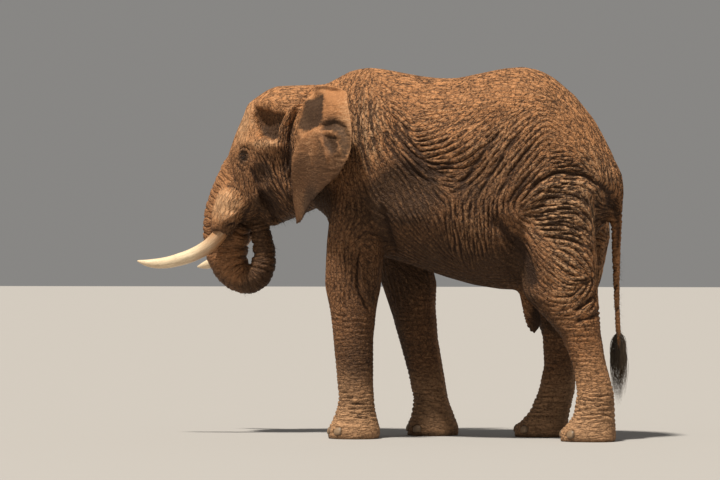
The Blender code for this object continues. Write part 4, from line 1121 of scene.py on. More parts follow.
def folds_of(points, normals, where):
    """Height of the single creases and ridges, and the painted shade in the creases, round the nails, at the
    lids and in the rings of the trunk.
    """
    height = np.zeros(len(points))
    dark = np.zeros(len(points))
    side = normals[:, 0] * np.sign(points[:, 0] - ORIGIN[0])
    facing = smooth(side, 0.05, 0.35) * (1 - where["ear"])
    for rows, at, share in (
        (BODY_STROKES, where["body"], facing * (1 - where["on_head"])),
        (HEAD_STROKES, where["head"], facing * where["on_head"]),
    ):
        near = np.flatnonzero(share > 0.01)
        wander = np.column_stack([noise(points[near] / 0.09, 17), noise(points[near] / 0.09, 18)])
        places = at[near][:, 1:] + 0.012 * wander
        for width, depth, path in rows:
            pressed = share[near] * stroke(places, np.array(path), width)
            height[near] -= depth * pressed
            # each crease also gets painted shade along it
            if depth > 0:
                dark[near] = np.maximum(dark[near], pressed * min(1.0, 0.4 + 50 * depth))

    # the raised skin round each nail, and painted shade in the gap inside it
    for _, _, face, way, half_width in nail_places():
        away = nail_distance(points, face, way, half_width)
        away = np.where((normals @ way > 0.2) & (np.abs((points - face) @ way) < 0.08), away, 9.0)
        height += CUTICLE_HEIGHT * np.exp(-(((away - 1.35) / 0.20) ** 2)) * smooth(points[:, 2], 0.03, 0.06)
        dark = np.maximum(dark, np.exp(-(((away - 1.06) / 0.12) ** 2)))
    # painted shadow in the socket round each eye
    about_eye = np.hypot(where["head"][:, 1] - EYE_SHADOW[0], where["head"][:, 2] - EYE_SHADOW[1])
    dark = np.maximum(dark, 0.9 * facing * where["on_head"] * smooth(about_eye, 0.046, 0.022))

    # rings of the trunk, deepest over its front, with painted shade in them
    front = smooth(where["outward"], -0.02, 0.14)
    for rings, depth, width, reach in TRUNK_RINGS:
        phase = np.interp(where["run"], TRUNK_STRETCHES, np.cumsum(rings))
        ring = np.abs(np.sin(math.pi * (phase + 0.32 * noise(points / 0.13, 92))))
        ring = (1 - np.minimum(ring / width, 1)) ** 1.3 * (1 - reach + reach * front)
        height -= depth * where["trunk"] * ring
        dark = np.maximum(dark, 0.9 * where["trunk"] * ring)
    return height, dark


def nail_distance(points, face, way, half_width):
    """How far points are from a nail's middle: 1 at its edge."""
    across = (points - face) @ (-way[1], way[0], 0) / (NAIL_WIDER * half_width)
    return np.hypot(across, (points[:, 2] - face[2]) / bpy.context.scene.elephant_nails.rise)


def shape_body(points, normals):
    """Moves the body's points for its larger forms."""
    body = points - ORIGIN
    about = both_sides(body)
    out = normals[:, 0] * np.sign(body[:, 0])
    move = sum(depth * bump(about, place, reach) for place, reach, depth in BODY_FORMS)
    move = move * smooth(out, 0.1, 0.5) + PREPUCE_FULLER * bump(body, *PREPUCE_END)
    return points + normals * move[:, None]


def within(places, outline):
    """How far flat places lie inside an outline, below 0 where they are outside it."""
    outline = np.array(outline)
    inside = np.zeros(len(places), bool)
    nearest = np.full(len(places), 9.0)
    for start, end in zip(outline, np.roll(outline, -1, axis=0)):
        way = end - start
        part = np.clip((places - start) @ way / (way @ way), 0, 1)
        nearest = np.minimum(nearest, np.linalg.norm(places - start - part[:, None] * way, axis=1))
        spans = (start[1] > places[:, 1]) != (end[1] > places[:, 1])
        crossing = start[0] + (places[:, 1] - start[1]) * (end[0] - start[0]) / (end[1] - start[1] + 1e-12)
        inside ^= spans & (places[:, 0] < crossing)
    return np.where(inside, nearest, -nearest)


def shape_head(points, normals):
    """Moves the head's points for its larger forms."""
    head = to_head(points)
    about = both_sides(head)
    out = normals[:, 0] * np.sign(head[:, 0])
    move = sum(depth * bump(about, place, reach) for place, reach, depth in HEAD_FORMS)
    sunk = smooth(within(about[:, 1:], TEMPLE), -0.012, 0.040)
    move -= sunk * np.interp(head[:, 2], *TEMPLE_DEPTH) * smooth(about[:, 0], 0.10, 0.20)
    move *= smooth(out, 0.0, 0.4)
    return points + normals * move[:, None]


def shape_lids(points):
    """Draws the skin over the eyeballs as lids with an almond opening between them."""
    for name, side in SIDES.items():
        centre, radius = eye_of(name)
        axis = head_axes(side)
        away = points - centre
        distance = np.linalg.norm(away, axis=1)
        near = np.flatnonzero(distance < 2.0 * radius)
        away, distance = away[near], distance[near]
        out, ahead = away @ axis[0], away @ axis[1]
        rise = np.degrees(np.arcsin(np.clip(away[:, 2] / distance, -1, 1)))
        turn = np.degrees(np.arctan2(ahead, out))
        arch = 1 - (turn / LID_TURN) ** 2
        inside = np.minimum(LID_RISE * arch - rise, rise + LID_DROP * arch)
        open_share = smooth(inside, -2.5, 2.5)
        lid = radius * LID_HEIGHT
        for middle, width, height in LID_FOLDS:
            lid = lid + height * np.exp(-(((inside + middle) / width) ** 2))
        target = lid + (radius * 0.90 - lid) * open_share
        fade = smooth(distance, 1.9 * radius, 1.25 * radius) * smooth(out, 0, 0.3 * radius)
        new = distance + (target - distance) * fade
        points[near] = centre + away * (new / distance)[:, None]
    return points


def refine(skin, near):
    """Divides the faces whose middles are picked by `near`."""
    middles = np.empty(len(skin.data.polygons) * 3, np.float32)
    skin.data.polygons.foreach_get("center", middles)
    with editing(skin, "FACE", near(middles.reshape(-1, 3).astype(float))):
        bpy.ops.mesh.subdivide(number_cuts=1)


def near_eyes(radius):
    """A test for points that lie within a radius of an eye."""

    def chosen(middles):
        away = [np.linalg.norm(middles - eye_of(name)[0], axis=1) for name in SIDES]
        return np.min(away, axis=0) < radius

    return chosen


def on_face(middles):
    """True on the sides of the face, above the mouth and in front of the ears."""
    out, y, z = both_sides(to_head(middles)).T
    return (y < -1.25) & (z > 1.8) & (out < 0.42) & (out > 0.08)


def edge_sizes(mesh, points):
    """The mean length of the edges at each vertex."""
    edges = neighbours(mesh)
    length = np.linalg.norm(points[edges[:, 0]] - points[edges[:, 1]], axis=1)
    count = np.bincount(edges.ravel(), minlength=len(points))
    total = np.bincount(edges[:, 0], length, len(points)) + np.bincount(edges[:, 1], length, len(points))
    return total / np.maximum(count, 1)


EYE_REFINED = (0.08, 0.045)  # the skin is divided again this near the eyes, and once more
EYE_KEPT = 0.11  # and keeps more of its triangles this near
FACE_KEPT = 0.0003  # how firmly the face keeps its triangles
# Where the skin of the head is smoother
EVEN_HEAD = (
    ((0.3, -1.94, 2.03), (0.3, 0.20, 0.20), 0.9),
    ((0.2, -1.80, 2.74), (0.4, 0.18, 0.28), 0.5),
    ((0.3, -1.55, 2.555), (0.3, 0.22, 0.06), 0.5),
)


def fold_skin(skin, settings):
    """Shapes the head, presses every fold into the skin and thins it to its triangles."""
    refine(skin, on_face)
    for radius in EYE_REFINED:
        refine(skin, near_eyes(radius))
    points = eased(skin.data, points_of(skin.data), 2)
    set_points(skin.data, points)
    points = shape_body(shape_head(points, normals_of(skin.data)), normals_of(skin.data))
    set_points(skin.data, points)
    normals = normals_of(skin.data)
    where = regions_of(points)
    lie = lie_of(points, normals, where)
    way, force = lie.way(), lie.strength()
    force = force * (1 - 0.30 * smooth(normals[:, 1], 0.55, 0.95) * (1 - where["ear"]))

    wave = grown_folds(skin.data, points, way)
    size = np.clip(edge_sizes(skin.data, points) / settings.voxel, 0.2, 1.1)
    groove = smooth(wave, -0.25, -1.45)
    swell = smooth(wave, 0.2, 1.6)
    patchy = 0.75 + 0.45 * noise(points / 0.30, 41)
    calm = 1 - 0.35 * where["on_head"] - 0.45 * bump(both_sides(where["head"]), *EYE_SOCKET)
    height = FOLD_DEPTH * force * size * patchy * calm * (0.50 * (swell - 0.7) - groove)
    single, dark = folds_of(points, normals, where)
    height = (height + single) * smooth(points[:, 2], 0.0, 0.04)
    points = points + normals * (settings.fold_depth * height - settings.coat_depth)[:, None]
    points = shape_lids(points)
    points[:, 2] *= smooth(points[:, 2], 0.002, 0.014)
    set_points(skin.data, points)

    across = np.cross(normals, way)
    axes = [(0.0, -math.sin(math.radians(slope)), math.cos(math.radians(slope))) for slope in GRAIN_SLOPES]
    shares = np.abs(across @ np.array([*axes, (1.0, 0.0, 0.0)]).T) ** 8
    shares /= shares.sum(axis=1, keepdims=True)
    marks = {f"grain_{k}": shares[:, k] for k in range(shares.shape[1])}
    # painted shade of the creases, darker still round the prepuce; it goes into the groove mark
    dark = np.maximum(dark, smooth(bump(where["body"], *GROIN), 0.15, 0.6))
    marks["groove"] = np.clip(np.maximum(groove * np.clip(force, 0, 1.3) * patchy, dark), 0, 1)
    # painted highlight on fold tops and at the dried places, none in the temple's hollow
    dried_dust_and_highlight = placed(where, DRIED_AND_LIT_PLACES, DRIED_AND_LIT_HEAD)
    crest = swell * np.clip(force, 0, 1.3) + dried_dust_and_highlight * (0.5 + 0.6 * swell) - 0.3 * dark
    marks["crest"] = np.clip(crest * (1 - where["temple"]), 0, 1.5)
    even = placed(where, (), EVEN_HEAD) + 0.7 * where["trunk"] + 0.6 * where["tail"] + 0.35 * where["on_head"]
    marks["even"] = np.clip(np.maximum(where["ear"], even), 0, 1)
    marks["force"] = force
    # more dust at listed places, also standing in for stronger light there
    marks["dust"] = dust_and_light_of(points, normals, where)
    marks["bare"] = bare_and_shade_of(points, normals, where)
    marks["on_ear"] = where["ear"]

    thin_skin(skin, points, settings.triangles, marks)


def tree_of(points):
    tree = KDTree(len(points))
    for index, point in enumerate(points):
        tree.insert(point, index)
    tree.balance()
    return tree


def thin_skin(skin, points, triangles, marks):
    """Thins the skin, least of all on the face and round the eyes, and stores its marks on what is left."""
    tree = tree_of(points)
    skin.data.calc_loop_triangles()
    thinned = 1 - 0.6 * on_face(points) - 0.35 * near_eyes(EYE_KEPT)(points)
    group = skin.vertex_groups.new(name="thinned")
    for level in np.unique(thinned):
        group.add(np.flatnonzero(thinned == level).tolist(), float(level), "REPLACE")
    ratio = triangles / len(skin.data.loop_triangles)
    apply_modifier(skin, "DECIMATE", ratio=ratio, vertex_group=group.name, vertex_group_factor=FACE_KEPT)
    skin.vertex_groups.clear()
    nearest = [tree.find(vertex.co)[1] for vertex in skin.data.vertices]
    for name, values in marks.items():
        attribute(skin.data, name, values[nearest])


def unwrap_skin(skin):
    """Unwraps the skin as if its folds were smoothed away, so that the map has few islands."""
    points = points_of(skin.data)
    set_points(skin.data, eased(skin.data, points, 12, keep_volume=False))
    skin.data.uv_layers.new(name="OFBake")
    with editing(skin):
        bpy.ops.uv.smart_project(angle_limit=math.radians(70), island_margin=0.002)
    set_points(skin.data, points)


# Places where the dust has dried pale, which also lay painted highlight on the fold tops, standing in for
# stronger light there
DRIED_AND_LIT_PLACES = (
    ((0.6, 1.15, 1.95), (0.6, 0.45, 0.50), 2.0),
    ((0.7, -0.60, 2.65), (0.7, 0.26, 0.50), 1.3),
    ((0.6, 1.20, 1.35), (0.6, 0.32, 0.50), 0.7),
    ((0.6, 1.50, 2.30), (0.6, 0.34, 0.50), 1.7),
    ((0.6, 0.40, 1.78), (0.6, 0.36, 0.30), 0.6),
    ((0.7, 0.60, 2.35), (0.7, 0.40, 0.40), 0.9),
)
DRIED_AND_LIT_HEAD = (
    ((0.3, -1.96, 2.02), (0.3, 0.22, 0.22), 2.4),
    ((0.2, -1.80, 2.72), (0.4, 0.22, 0.32), 1.4),
    ((0.3, -1.54, 2.550), (0.3, 0.24, 0.07), 1.8),
)
# Places with more dust, which also stands in for stronger light there
DUST_AND_LIGHT_PLACES = (
    ((0.5, 1.45, 2.35), (0.8, 0.35, 0.60), 1.1),
    ((0.6, 1.20, 1.98), (0.6, 0.48, 0.52), 1.6),
    ((0.6, 1.25, 1.35), (0.6, 0.35, 0.60), 1.0),
    ((0.6, 1.35, 0.60), (0.6, 0.45, 0.60), 0.8),
    ((0.7, -0.62, 2.60), (0.7, 0.25, 0.50), 0.8),
    ((0.7, 0.33, 1.75), (0.6, 0.30, 0.35), 0.4),
)
DUST_AND_LIGHT_HEAD = (
    ((0.2, -1.80, 2.70), (0.4, 0.22, 0.35), 0.8),
    ((0.3, -1.62, 2.56), (0.3, 0.30, 0.09), 0.9),
    ((0.3, -1.94, 2.02), (0.3, 0.24, 0.24), 2.4),
    ((0.3, -1.42, 2.20), (0.3, 0.12, 0.30), 0.35),
    ((0.3, -1.37, 2.74), (0.3, 0.10, 0.20), 0.6),
)
# Places given painted shade: behind the shoulder, in the flank's hollow, along the belly, at the throat,
# before the thigh and down the foreleg
SHADED_PLACES = (
    ((0.7, -0.20, 2.14), (0.7, 0.46, 0.38), 2.0),
    ((0.7, 0.38, 2.15), (0.7, 0.28, 0.26), 0.8),
    ((0.6, 0.10, 1.44), (0.9, 0.95, 0.34), 0.65),
    ((0.4, -1.02, 2.00), (0.6, 0.22, 0.28), 1.2),
    ((0.5, 0.80, 1.42), (0.6, 0.22, 0.40), 0.8),
    ((0.5, -0.60, 1.95), (0.6, 0.40, 0.45), 0.8),
    ((0.4, -0.62, 1.30), (0.6, 0.40, 0.50), 0.5),
    ((0.5, -0.68, 0.70), (0.6, 0.40, 0.50), 0.75),
)
# Painted shade on the head: the mouth's corner, the cheek, round the eye and the crevice before the ear
SHADED_HEAD = (
    ((0.3, -1.58, 2.03), (0.4, 0.14, 0.24), 1.2),
    ((0.3, -1.56, 2.30), (0.4, 0.16, 0.18), 1.0),
    ((0.3, -1.775, 2.455), (0.3, 0.10, 0.12), 1.3),
    ((0.3, -1.35, 2.45), (0.4, 0.10, 0.50), 0.7),
)


def dust_and_light_of(points, normals, where):
    """How much red earth lies on the skin: most on the back, rump and crown, and more at listed places, where
    it also stands in for stronger light.
    """
    high = smooth(points[:, 2], 2.0, 3.0)
    up = smooth(normals[:, 2], -0.25, 0.60)
    found = 0.10 + 0.60 * up * (0.35 + 0.65 * high) + 0.35 * high
    return np.clip(found + placed(where, DUST_AND_LIGHT_PLACES, DUST_AND_LIGHT_HEAD) + 0.3 * where["tail"], 0, 1)


def placed(where, on_body, on_head):
    """The sum of many bumps, each (out, y, z), reach along each, and share, alike on both sides."""
    found = 0
    for at, places in ((where["body"], on_body), (where["head"], on_head)):
        about = both_sides(at)
        found = found + sum(share * bump(about, place, reach) for place, reach, share in places)
    return found


def bare_and_shade_of(points, normals, where):
    """How much darker hide and painted shade each point gets: on the underside and inside the legs, where the
    body shades itself, in the trunk's curl, in the temple's hollow, in the ears and at listed places.
    """
    x, _, z = where["body"].T
    down = smooth(-normals[:, 2], 0.05, 0.6) * smooth(z, 2.7, 2.2) * (1 - where["ear"])
    inner = where["leg"] * smooth(-normals[:, 0] * np.sign(x), 0.1, 0.6)
    groin = bump(where["body"], *GROIN)
    curl = smooth(where["head"][:, 1], -1.95, -1.80) * where["trunk"] * smooth(z, 2.05, 1.95)
    found = 0.7 * down + 0.6 * inner + 2.5 * groin + 0.8 * curl
    found += placed(where, SHADED_PLACES, SHADED_HEAD)
    found += where["temple"] * np.interp(z, *TEMPLE_DARK)
    found += where["ear"] * ear_shade(points, where["ear_place"])
    return np.clip(found * (1 - 0.7 * where["tail"]), 0, 1)


def ear_shade(points, place):
    """How much painted shade an ear gets: the shadow in its hollow under the upper rim and in the pocket over
    its lobe, less on the lit rims of its folds, and a darker tone down the lobe.
    """
    share, t = place.T
    past = share - np.interp(t, *EAR_LOBE)
    box = (np.abs((share - 0.295) / 0.135) ** 3.5 + np.abs((t - 0.32) / 0.33) ** 3.5) ** (1 / 3.5)
    box += 0.05 * noise(points / 0.05, 61) + 0.06 * noise(points / 0.14, 63)
    hollow = smooth(box, 1.08, 0.88) * smooth(past, 0.0, -0.012)
    spot = place * EAR_SPAN
    arch, across = np.array(EAR_ARCH).T
    under = smooth(share - np.interp(t, across, arch), -0.012, 0.02) * smooth(t, 0.60, 0.68)
    pocket = 0.55 * under + stroke(spot, np.array(EAR_ARCH) * EAR_SPAN, 0.062)
    middle, reach, _ = EAR_HOLLOWS[1]
    pocket += 0.4 * smooth(np.hypot(*((place - middle) / reach).T), 1.0, 0.6)
    lit = [stroke(spot, np.array(path) * EAR_SPAN, 0.8 * width) for width, _, path in EAR_RIDGES[1:5]]
    lit = np.max(lit, axis=0)
    pocket = np.clip(pocket, 0, 1) * (1 - 0.9 * lit)
    lobe = 0.04 + 0.42 * smooth(past + 0.010 * noise(points / 0.04, 62), 0.08, 0.15)
    return np.maximum(np.maximum(hollow, pocket), lobe * smooth(past, -0.01, 0.03) * (1 - lit))


# ------------------------------------------------------------------ the skin's finish
CREASE_BUMP = 0.014  # metres that the finest creases seem to sink
DUSTY_FEET = (0.22, 0.95)  # heights from which the dried earth on the legs thins, and above which it ends


def skin_material(settings):
    """Hide with its creases and cracks, red earth on it and dried earth on the feet, with painted shade in
    creases, hollows and undersides and painted highlight on the fold tops.
    """
    material, nodes, shader = new_material("skin", settings.hide)
    names = ("force", "crest", "on_ear", "even", "dust", "bare")
    force, crest, ear, even, dust, bare = (nodes.attribute(name) for name in names)
    place = nodes.add("ShaderNodeTexCoord", {}, out="Object")
    level = nodes.add("ShaderNodeSeparateXYZ", {}, place, out="Z")
    grit = nodes.noise(place, 150.0, 3.0)
    blotch = nodes.noise(place, 2.6, 5.0, 0.6)
    speckle = nodes.noise(place, 50.0, 3.0, 0.6)
    groove = nodes.stepped(nodes.attribute("groove") + (speckle - 0.5) * 0.30, 0.22, 1.0)
    lines = fine_creases(nodes, place, settings) * (0.60 + force * 0.50) * (1.0 - ear * 0.6)
    cracks = crack_net(nodes, place) * (1.0 - even * 0.85) * (0.55 + 0.45 * nodes.stepped(level, 0.15, 0.9))

    height = 0.8 - lines * 0.65 - cracks * 0.35 + grit * 0.08 + speckle * 0.30 * (1.0 - even * 0.7)
    normal = nodes.add("ShaderNodeBump", {}, Strength=1.0, Distance=CREASE_BUMP, Height=height)

    # dust over the hide, then darker hide with painted shade, dried dust with painted highlight on the fold
    # tops, and last the painted shade of the creases
    amount = (dust - ear * 0.35 - groove * 0.20 + (blotch - 0.5) * 0.9 + (speckle - 0.5) * 0.8).clamped()
    body = nodes.mixed(amount, settings.hide, settings.warm)
    bare_and_shade_share = (bare * (1.45 - crest * 0.52 - speckle * 0.5)).clamped()
    body = nodes.mixed(bare_and_shade_share, body, settings.bare)
    dried_dust_and_highlight = crest * (0.15 + dust * 0.40) + (speckle - 0.52) * 1.2 + ear * (blotch - 0.5)
    body = nodes.mixed((dried_dust_and_highlight * (1.0 - bare * 0.65)).clamped(), body, settings.pale)
    low = 1.0 - nodes.stepped(level + (blotch - 0.5) * 0.5, *DUSTY_FEET)
    body = nodes.mixed((low * 0.52 - bare * 0.35).clamped(), body, settings.pale)
    # painted shade: creases, fine lines, cracks, pits and the ear's hollows
    pits = (0.46 - speckle).clamped() * 2.2 * (1.0 - even * 0.9)
    shade = groove * 0.58 + lines * (0.50 + dust * 0.26) + cracks * 0.48 + pits + bare * ear * 0.42
    colour = nodes.mixed(shade.clamped() * 0.94, body, settings.dark)
    roughness = 0.74 + (grit - 0.5) * 0.2
    feed(shader, Base_Color=colour, Normal=normal, Roughness=roughness, Specular_IOR_Level=0.22)
    return material


def fine_creases(nodes, place, settings):
    """Thin lines along the folds: noise drawn out in each slope, where the skin's marks ask for it."""
    lines = None
    width, length = settings.crease_spacing, settings.crease_length
    for index, slope in enumerate((*GRAIN_SLOPES, None)):
        turn = (0.0, 0.0, 0.0) if slope is None else (math.radians(slope), 0.0, 0.0)
        size = (width, length, length) if slope is None else (length, length, width)
        values = (place, (index * 3.1, 0, 0), turn, size)
        laid = nodes.add("ShaderNodeMapping", {"vector_type": "TEXTURE"}, *values)
        wave = nodes.noise(laid, 1.0, 1.6, 0.6)
        line = (1.0 - abs(wave - 0.5) * 9.0).clamped() * nodes.attribute(f"grain_{index}")
        lines = line if lines is None else lines + line
    return lines


def crack_net(nodes, place):
    """The small net of cracks between the creases."""
    warp = nodes.noise(place, 11.0, 2.0, out="Color")
    bent = nodes.add("ShaderNodeVectorMath", {"operation": "MULTIPLY_ADD"}, warp, (0.06, 0.06, 0.06), place)
    edges = {"feature": "DISTANCE_TO_EDGE"}
    coarse = nodes.add("ShaderNodeTexVoronoi", edges, Vector=bent, Scale=24.0, out="Distance")
    fine = nodes.add("ShaderNodeTexVoronoi", edges, Vector=bent, Scale=58.0, out="Distance")
    return (1.0 - coarse * 7.0).clamped() * 0.8 + (1.0 - fine * 6.0).clamped() * 0.40


class ELEPHANT_OT_skin(bpy.types.Operator):
    """Build the skin over all the flesh"""

    bl_idname = "elephant.skin"
    bl_label = "Skin"

    def execute(self, context):
        sizes = context.scene.elephant_skin
        skin = first_shape(sizes.voxel * (1))
        fold_skin(skin, sizes)
        unwrap_skin(skin)
        skin.data.materials.clear()
        skin.data.materials.append(skin_material(sizes))
        finished(skin, "skin", *FLESH)
        return {"FINISHED"}


# ------------------------------------------------------------------ eyes, tusks and nails
GAZE = np.array((0.0, -0.10, -0.12))  # from straight out: a little ahead and down
# Edges of the iris and the pupil, as the cosine of the angle from the gaze
IRIS_EDGE = (0.74, 0.80)
PUPIL_EDGE = (0.93, 0.955)
PUPIL = (0.004, 0.003, 0.003)
CORNEA = 0.07  # how far it stands out, as a share of the eyeball's radius


class ELEPHANT_OT_eyes(bpy.types.Operator):
    """Add the eyeballs, each with its cornea, iris and pupil"""

    bl_idname = "elephant.eyes"
    bl_label = "Eyes"

    def execute(self, context):
        colours = context.scene.elephant_eyes
        material, nodes, shader = new_material("eye", colours.iris)
        gaze = nodes.attribute("gaze")
        place = nodes.add("ShaderNodeTexCoord", {}, out="Object")
        iris = nodes.mixed(nodes.noise(place, 420.0, 3.0), colours.iris, tinted(colours.iris, 2.4))
        colour = nodes.mixed(nodes.stepped(gaze, *IRIS_EDGE), colours.white, iris)
        colour = nodes.mixed(nodes.stepped(gaze, *PUPIL_EDGE), colour, PUPIL)
        feed(shader, Base_Color=colour, Roughness=0.12, Specular_IOR_Level=0.2)
        feed(shader, Coat_Weight=0.4, Coat_Roughness=0.03)
        for name, side in SIDES.items():
            centre, radius = eye_of(name)
            eye = ball(centre, radius, 48, 32)
            eye.name = f"eyeball_{name}"
            look = head_axes(side)[0] + GAZE
            look /= np.linalg.norm(look)
            points = points_of(eye.data)
            toward = (points - centre) @ look / radius
            points += look * (CORNEA * radius * smooth(toward, IRIS_EDGE[1] - 0.02, 1.0))[:, None]
            set_points(eye.data, points)
            attribute(eye.data, "gaze", toward)
            eye.data.materials.append(material)
            finished(eye, "eye", f"eye_{name}")
        return {"FINISHED"}


class ELEPHANT_OT_tusks(bpy.types.Operator):
    """Add the tusks: curved, tapering, stained at the root"""

    bl_idname = "elephant.tusks"
    bl_label = "Tusks"

    def execute(self, context):
        colours = context.scene.elephant_tusks
        material, nodes, shader = new_material("ivory", colours.ivory)
        along, under = nodes.attribute("along"), nodes.attribute("under")
        grain = nodes.attribute("grain", "Vector")
        streaks = nodes.noise(grain, 1.0, 5.0, 0.65)
        blotch = nodes.noise(nodes.scaled(grain, (0.15, 0.5, 0.15)), 1.0, 3.0)
        root = 1.0 - nodes.stepped(along + (blotch - 0.5) * 0.35, 0.10, 0.50)
        stain = (root * 0.85 + under * 0.30 + (streaks - 0.5) * 1.1).clamped()
        colour = nodes.mixed(stain, colours.ivory, colours.stain)
        split = (1.0 - abs(streaks - 0.5) * 22.0).clamped() * 0.35
        colour = nodes.mixed(split, colour, tinted(colours.stain, 0.4))
        normal = nodes.add("ShaderNodeBump", {}, Strength=0.6, Distance=0.0015, Height=streaks - split)
        roughness = 0.30 + root * 0.25 + (streaks - 0.5) * 0.15
        feed(shader, Base_Color=colour, Normal=normal, Roughness=roughness)
        for name in SIDES:
            tusk = self.tusk(name)
            tusk.data.materials.append(material)
            finished(tusk, "ivory", f"tusk_{name}")
        return {"FINISHED"}

    def tusk(self, name):
        """One tusk, with its wear and the values that its ivory reads."""
        side = SIDES[name]
        rows = faired(TUSK, TUSK_STEPS)
        reach = lengths_along(rows[:, :3])
        reach /= reach[-1]
        x, y, z = (np.interp(reach * TUSK_SHARE[side], reach, rows[:, k]) for k in range(3))
        centres = from_head(np.column_stack([side * x, y, z - TUSK_DROP[side] * reach**2]))
        radii = np.interp(reach, reach, rows[:, 3])
        radii[-1] = TUSK_TIP
        tusk = tapered_path(f"ivory_{name}", centres, radii, TUBE_SIDES["tusk"])
        points = points_of(tusk.data)
        best = np.linalg.norm(points[:, None] - centres[None], axis=2).argmin(axis=1)
        way = np.gradient(centres, axis=0)[best]
        gap = points - centres[best]
        out = np.cross(way, (0, 0, 1))
        out /= np.linalg.norm(out, axis=1)[:, None]
        angle = np.arctan2(gap[:, 2], (gap * out).sum(axis=1))
        around, up, along = np.cos(angle), np.sin(angle), reach[best]
        wear = TUSK_WEAR * noise(np.column_stack([around * 3, up * 3, along * 14]), 5)
        set_points(tusk.data, points + normals_of(tusk.data) * wear[:, None])
        attribute(tusk.data, "along", along)
        attribute(tusk.data, "under", smooth(-gap[:, 2] / radii[best], 0.0, 0.9))
        attribute(tusk.data, "grain", np.column_stack([around * 5, along * 5, up * 5]))
        return tusk


def nail_places():
    """(leg, node, foremost point, outward way, half width) of every nail, from its solid."""
    found = []
    for leg in LEGS:
        low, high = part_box(f"{leg}_foot")
        middle = np.array((low + high) / 2)
        names = sorted(n for n in frame["nodes"] if n.startswith(f"{leg}_nail"))
        for name in names:
            corners = points_of(frame["nodes"][name].data)
            way = corners.mean(axis=0) - middle
            way[2] = 0
            way /= np.linalg.norm(way)
            across = np.array((-way[1], way[0], 0))
            spread = corners @ across
            face = corners.mean(axis=0) + way * ((corners @ way).max() - corners.mean(axis=0) @ way)
            found.append((leg, name, face, way, (spread.max() - spread.min()) / 2))
    return found


class ELEPHANT_OT_nails(bpy.types.Operator):
    """Add the nails of each foot"""

    bl_idname = "elephant.nails"
    bl_label = "Nails"

    def execute(self, context):
        sizes = context.scene.elephant_nails
        material, nodes, shader = new_material("nail", sizes.horn)
        place = nodes.add("ShaderNodeTexCoord", {}, out="Object")
        bands = nodes.scaled(place, (30.0, 30.0, 160.0))
        ridges = nodes.noise(bands, 1.0, 3.0)
        dirt = nodes.noise(place, 24.0, 5.0)
        colour = nodes.mixed((dirt * 1.8 - 0.5).clamped(), tinted(sizes.horn, 0.45), sizes.horn)
        colour = nodes.mixed((ridges - 0.35).clamped(), colour, tinted(sizes.horn, 1.3))
        # painted shade towards the nail's edges where it meets the skin, with dirt over it
        rim = (nodes.attribute("rim") * 0.75 + (dirt - 0.45) * 0.8).clamped()
        colour = nodes.mixed(rim, colour, tinted(sizes.horn, 0.35))
        normal = nodes.add("ShaderNodeBump", {}, Strength=0.8, Distance=0.002, Height=ridges + dirt * 0.5)
        feed(shader, Base_Color=colour, Normal=normal, Roughness=0.55)
        for leg in LEGS:
            rows = [row for row in nail_places() if row[0] == leg]
            foot = joined(f"nails_{leg}", [self.nail(sizes, *row[2:]) for row in rows])
            foot.data.materials.append(material)
            finished(foot, "nail", *[row[1] for row in rows])
        return {"FINISHED"}

    def nail(self, sizes, face, way, half_width):
        """One nail: a rounded shield, cut straight along its lower edge."""
        bpy.ops.object.select_all(action="DESELECT")
        bpy.ops.mesh.primitive_uv_sphere_add(segments=28, ring_count=18, radius=1)
        nail = bpy.context.object
        x, y, z = points_of(nail.data).T
        ridge = 1 + 0.012 * np.sin(x * 34)
        power = np.where(z > 0, *NAIL_CORNERS)
        square = (np.abs(x) ** power + np.abs(z) ** power + 1e-9) ** (-1 / power) * np.hypot(x, z)
        across = NAIL_WIDER * half_width * x * square
        rise = sizes.rise * z * square
        rise = np.maximum(rise, NAIL_FOOT - face[2]) + np.where(z < -0.3, 0.006 * np.abs(x), 0)
        dome = np.sign(y) * np.abs(y) ** 0.6
        out = sizes.depth * (np.maximum(dome, -0.4) * ridge - 1 - 0.16 * smooth(z, -0.2, 1.0))
        out = out - 0.004 - 0.005 * z
        side = np.array((-way[1], way[0], 0))
        points = face + side * across[:, None] + way * out[:, None] + np.array((0, 0, 1)) * rise[:, None]
        set_points(nail.data, points)
        # how much painted shade each point gets, more away from the nail's face
        attribute(nail.data, "rim", smooth(y, 0.80, 0.35))
        with editing(nail):
            bpy.ops.mesh.normals_make_consistent(inside=False)
        return nail


# ------------------------------------------------------------------ hair
HAIR_ANGLES = (0.0, 2.0944, 4.1888)  # a hair has three sides
PATCH = 0.003  # size of a hair's place on the map
TUFT_MIDDLE = ((0.78, 0.86, 1.10), (1.506, 1.500, 1.486))  # heights, and the tail's place at them
TUFT_ROOT = 0.021  # how far from the tail's middle its hair starts
TUFT_SPREAD = 0.095  # how far it spreads to the front and rear
# Lashes of one lid: how many, the lid's edge in degrees, how far they droop, length
LASHES = ((44, LID_RISE, 0.85, 0.034), (20, -LID_DROP, 0.35, 0.010))
LASH_RADIUS = 0.0005
LASH_SWEEP = 46  # degrees each way that the lashes fan out
BRISTLE_RADIUS = 0.0006
# Where bristles grow on the head: (out, y, z), reach along each, and how many
BRISTLE_HEAD = (
    ((0, -1.55, 1.95), (0.40, 0.40, 0.30), 2.0),
    ((0, -1.95, 1.60), (0.40, 0.50, 0.60), 0.9),
    ((0, -1.40, 3.02), (0.40, 0.50, 0.20), 0.6),
)


